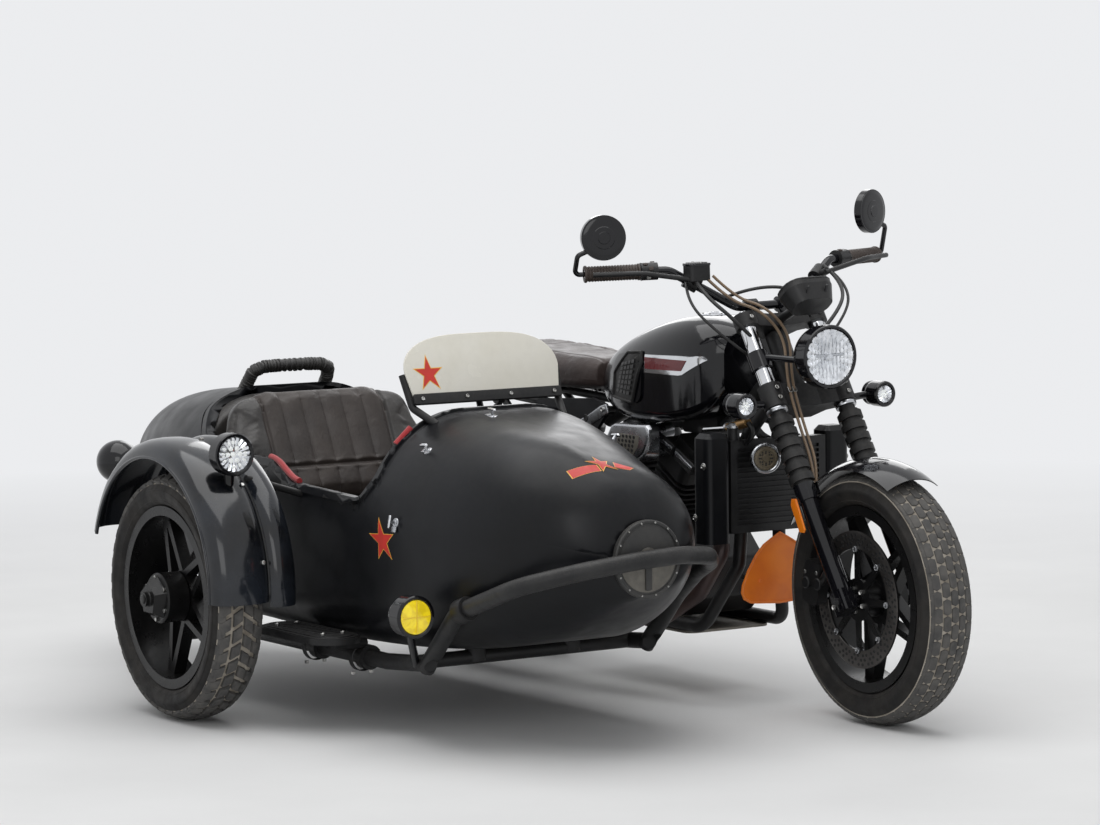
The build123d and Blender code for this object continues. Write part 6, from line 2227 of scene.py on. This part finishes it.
    def step(self, shape: Shape, dark: Shape) -> None:
        """Rim the step, rib it and clamp it to its tube.

        Args:
            shape: the piece of the screws.
            dark: the piece of the tread.
        """
        top, tube_side = Datum(bike(800, -1092, 228), FORWARD, LEFT, UP), -1016
        dark.add(prism(top, box_outline(334, 122, 59), 2.5, 1.0), TUBE_BLACK)
        dark.add(prism(top.moved(0, 0, 2.5), box_outline(316, 104, 50), 2.5, 1.2), PLASTIC_BLACK)
        for x in (-108.75, 108.75):
            for y in (-26, 26):
                shape.add(bolt(top.moved(x, y, 5), 6.0, 3.6), SCREW)
        for number in range(9):
            rib = prism(top.moved(-96 + 24 * number, 0, 5), box_outline(5, 62, 2.4), 1.8, 0.7)
            dark.add(rib, PLASTIC_BLACK)
        for x in (690, 910):
            clamp = datum(bike(x, tube_side, 172), FORWARD, UP)
            dark.add(turned(clamp, ((29.6, -9), (31.5, -8), (31.5, 8), (29.6, 9), (29.6, -9)), 36), TUBE_BLACK)
            for y in (-24, 24):
                foot = Datum(bike(x, tube_side + y, 141), FORWARD, RIGHT, -UP)
                shape.add(bolt(foot, 5.5, 6.5, True), SCREW)

    def metalwork(self) -> None:
        """Clamp the bumper, screw the step and ring the hub cap."""
        shape, dark, hub = shapes(self.palette, 3)
        self.bumper(shape, dark)
        self.step(shape, dark)
        shape.build("sidecar_screws", "steel")
        dark.build("step_tread", "frame_black")
        axle = datum(CAR_AXLE + RIGHT * (76 * MM), RIGHT, UP)
        nut = [(0, 4), (9, 3.4), (11, 1), (11, -8), (17.5, -9), (18.5, -12), (17.2, -12.5), (0, -12.5)]
        hub.add(spread(bolt(axle.moved(50, 0, 0), 5.2, 5.0, True), axle, 6), SCREW)
        hub.add(turned(axle, ((40, -1), (41, 2.2), (44, 2.2), (45, -1), (40, -1)), 48), WHEEL_BLACK)
        hub.add(turned(axle.moved(0, 0, 36), nut, 30), WHEEL_BLACK)
        hub.build("hub_cap_screws", "black_cast", body=Body.CAR_WHEEL)

    def lining(self) -> None:
        """Show the red lining inside the mouth's edge, on both sides."""
        shape = Shape(self.palette)
        for side in (-1, 1):
            for run in (self.mouth_slope, self.mouth_rise)[: 2 if side < 0 else 1]:
                points = []
                for x, z in run:
                    spot = self.body.drop(bike(x, CAR_OFFSET + side * 400, z - 12), RIGHT * side, 0.5)
                    points.append(spot + (RIGHT * side * 17 + UP * 15) * MM)
                shape.add(curved(points, 8, 12), LINING_RED)
        shape.build("red_lining", "brown_leather")

    def board(self) -> None:
        """Back the seat with its rounded board."""
        shape, half, (low, high) = Shape(self.palette), self.board_half, self.board_heights
        side, top = half - self.board_corner, high - self.board_corner
        corner = [(side + x, top + z) for x, z in arc(self.board_corner, 0, pi / 2, 12)]
        outline = [(half, low)] + corner + [(-x, z) for x, z in reversed(corner)] + [(-half, low)]
        shape.add(prism(Datum(car(26, 0, 0), LEFT, UP, FORWARD), outline, 48, 16), DARK_LEATHER)
        shape.build("seat_board", "dark_leather")

    def handle(self) -> None:
        """Wrap the seat's handle in overlapping turns of leather strip, in place of its solid."""
        shape, legs = Shape(self.palette), [car(*place) for place in self.handle_leg]
        route = legs + [Vector((place.x, 2 * car(0, 0, 0).y - place.y, place.z)) for place in reversed(legs)]
        shape.add(curved(route, 14.6, 16), WRAP)
        for number in range(self.wrap_turns):
            share = (number + 0.5) / self.wrap_turns * (len(route) - 1)
            at = min(int(share), len(route) - 2)
            spot = route[at].lerp(route[at + 1], share - at)
            before, after = route[max(0, at - 1)], route[min(len(route) - 1, at + 2)]
            lean = (after - before).normalized() + UP * (0.08 * sin(number * 2.3))
            inside = (car(10, 0, 740) - spot).normalized() * (1.2 * MM)
            edge = 16.6 + 0.6 * sin(number * 1.7)
            ring = [(14.2, -4.2), (edge, -2.6), (17.0, 1.8), (14.2, 4.4), (14.2, -4.2)]
            shape.add(turned(datum(spot + inside, lean, FORWARD), ring, 24), WRAP)
        shape.build("handle_wrap", "dark_leather", ("grab_rail",))

    def build(self) -> None:
        """Build the sidecar's trim."""
        for part in (
            self.stars, self.latches, self.lamps, self.pane, self.nose, self.metalwork, self.lining, self.board,
            self.handle,
        ):
            part()


TYRES = (
    Tyre("front_tyre", Body.FRONT_WHEEL, FRONT_AXLE, 297, 65, STREET),
    Tyre("rear_tyre", Body.REAR_WHEEL, REAR_AXLE, 295, 73, STREET_WIDE),
    Tyre("sidecar_tyre", Body.CAR_WHEEL, CAR_AXLE, 294, 65, LUGGED, 8.0),
)
BRAKES = (
    Brake("front", Body.FRONT_WHEEL, FRONT_AXLE, 1, 160, 45),
    Brake("rear", Body.REAR_WHEEL, REAR_AXLE, 1, 130, 20),
    Brake("sidecar", Body.CAR_WHEEL, CAR_AXLE, -1, 118, 110),
)


def dress(nodes: dict[str, bpy.types.Object], palette: Materials) -> None:
    """Give every solid its finish.

    Args:
        nodes: the solids by name.
        palette: the materials.
    """
    for name, node in nodes.items():
        finish = palette.of(NODE_FINISHES[name])
        node.data.materials.clear()
        node.data.materials.append(finish)
        log.info("%s: %s", name, finish.name)


def main() -> None:
    """Build the scene: studio, finishes, wheels, upholstery, and the trim of each part."""
    logging.basicConfig(level=logging.INFO, format="%(name)s: %(message)s")
    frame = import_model()
    nodes = frame["nodes"]
    Studio().build()
    palette = Materials()
    dress(nodes, palette)
    for tyre in TYRES:
        tyre.build(palette)
    for brake in BRAKES:
        brake.build(palette)
    FrontEnd(palette).build()
    Motorcycle(palette, Skin(nodes["fuel_tank"])).build()
    CarFender().build(palette)
    shell = Shell().build(nodes["sidecar_body"], palette)
    Sidecar(palette, Skin(shell)).build()
    for pad in PADS:
        pad.build(nodes, palette)
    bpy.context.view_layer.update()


if __name__ == "__main__":
    main()
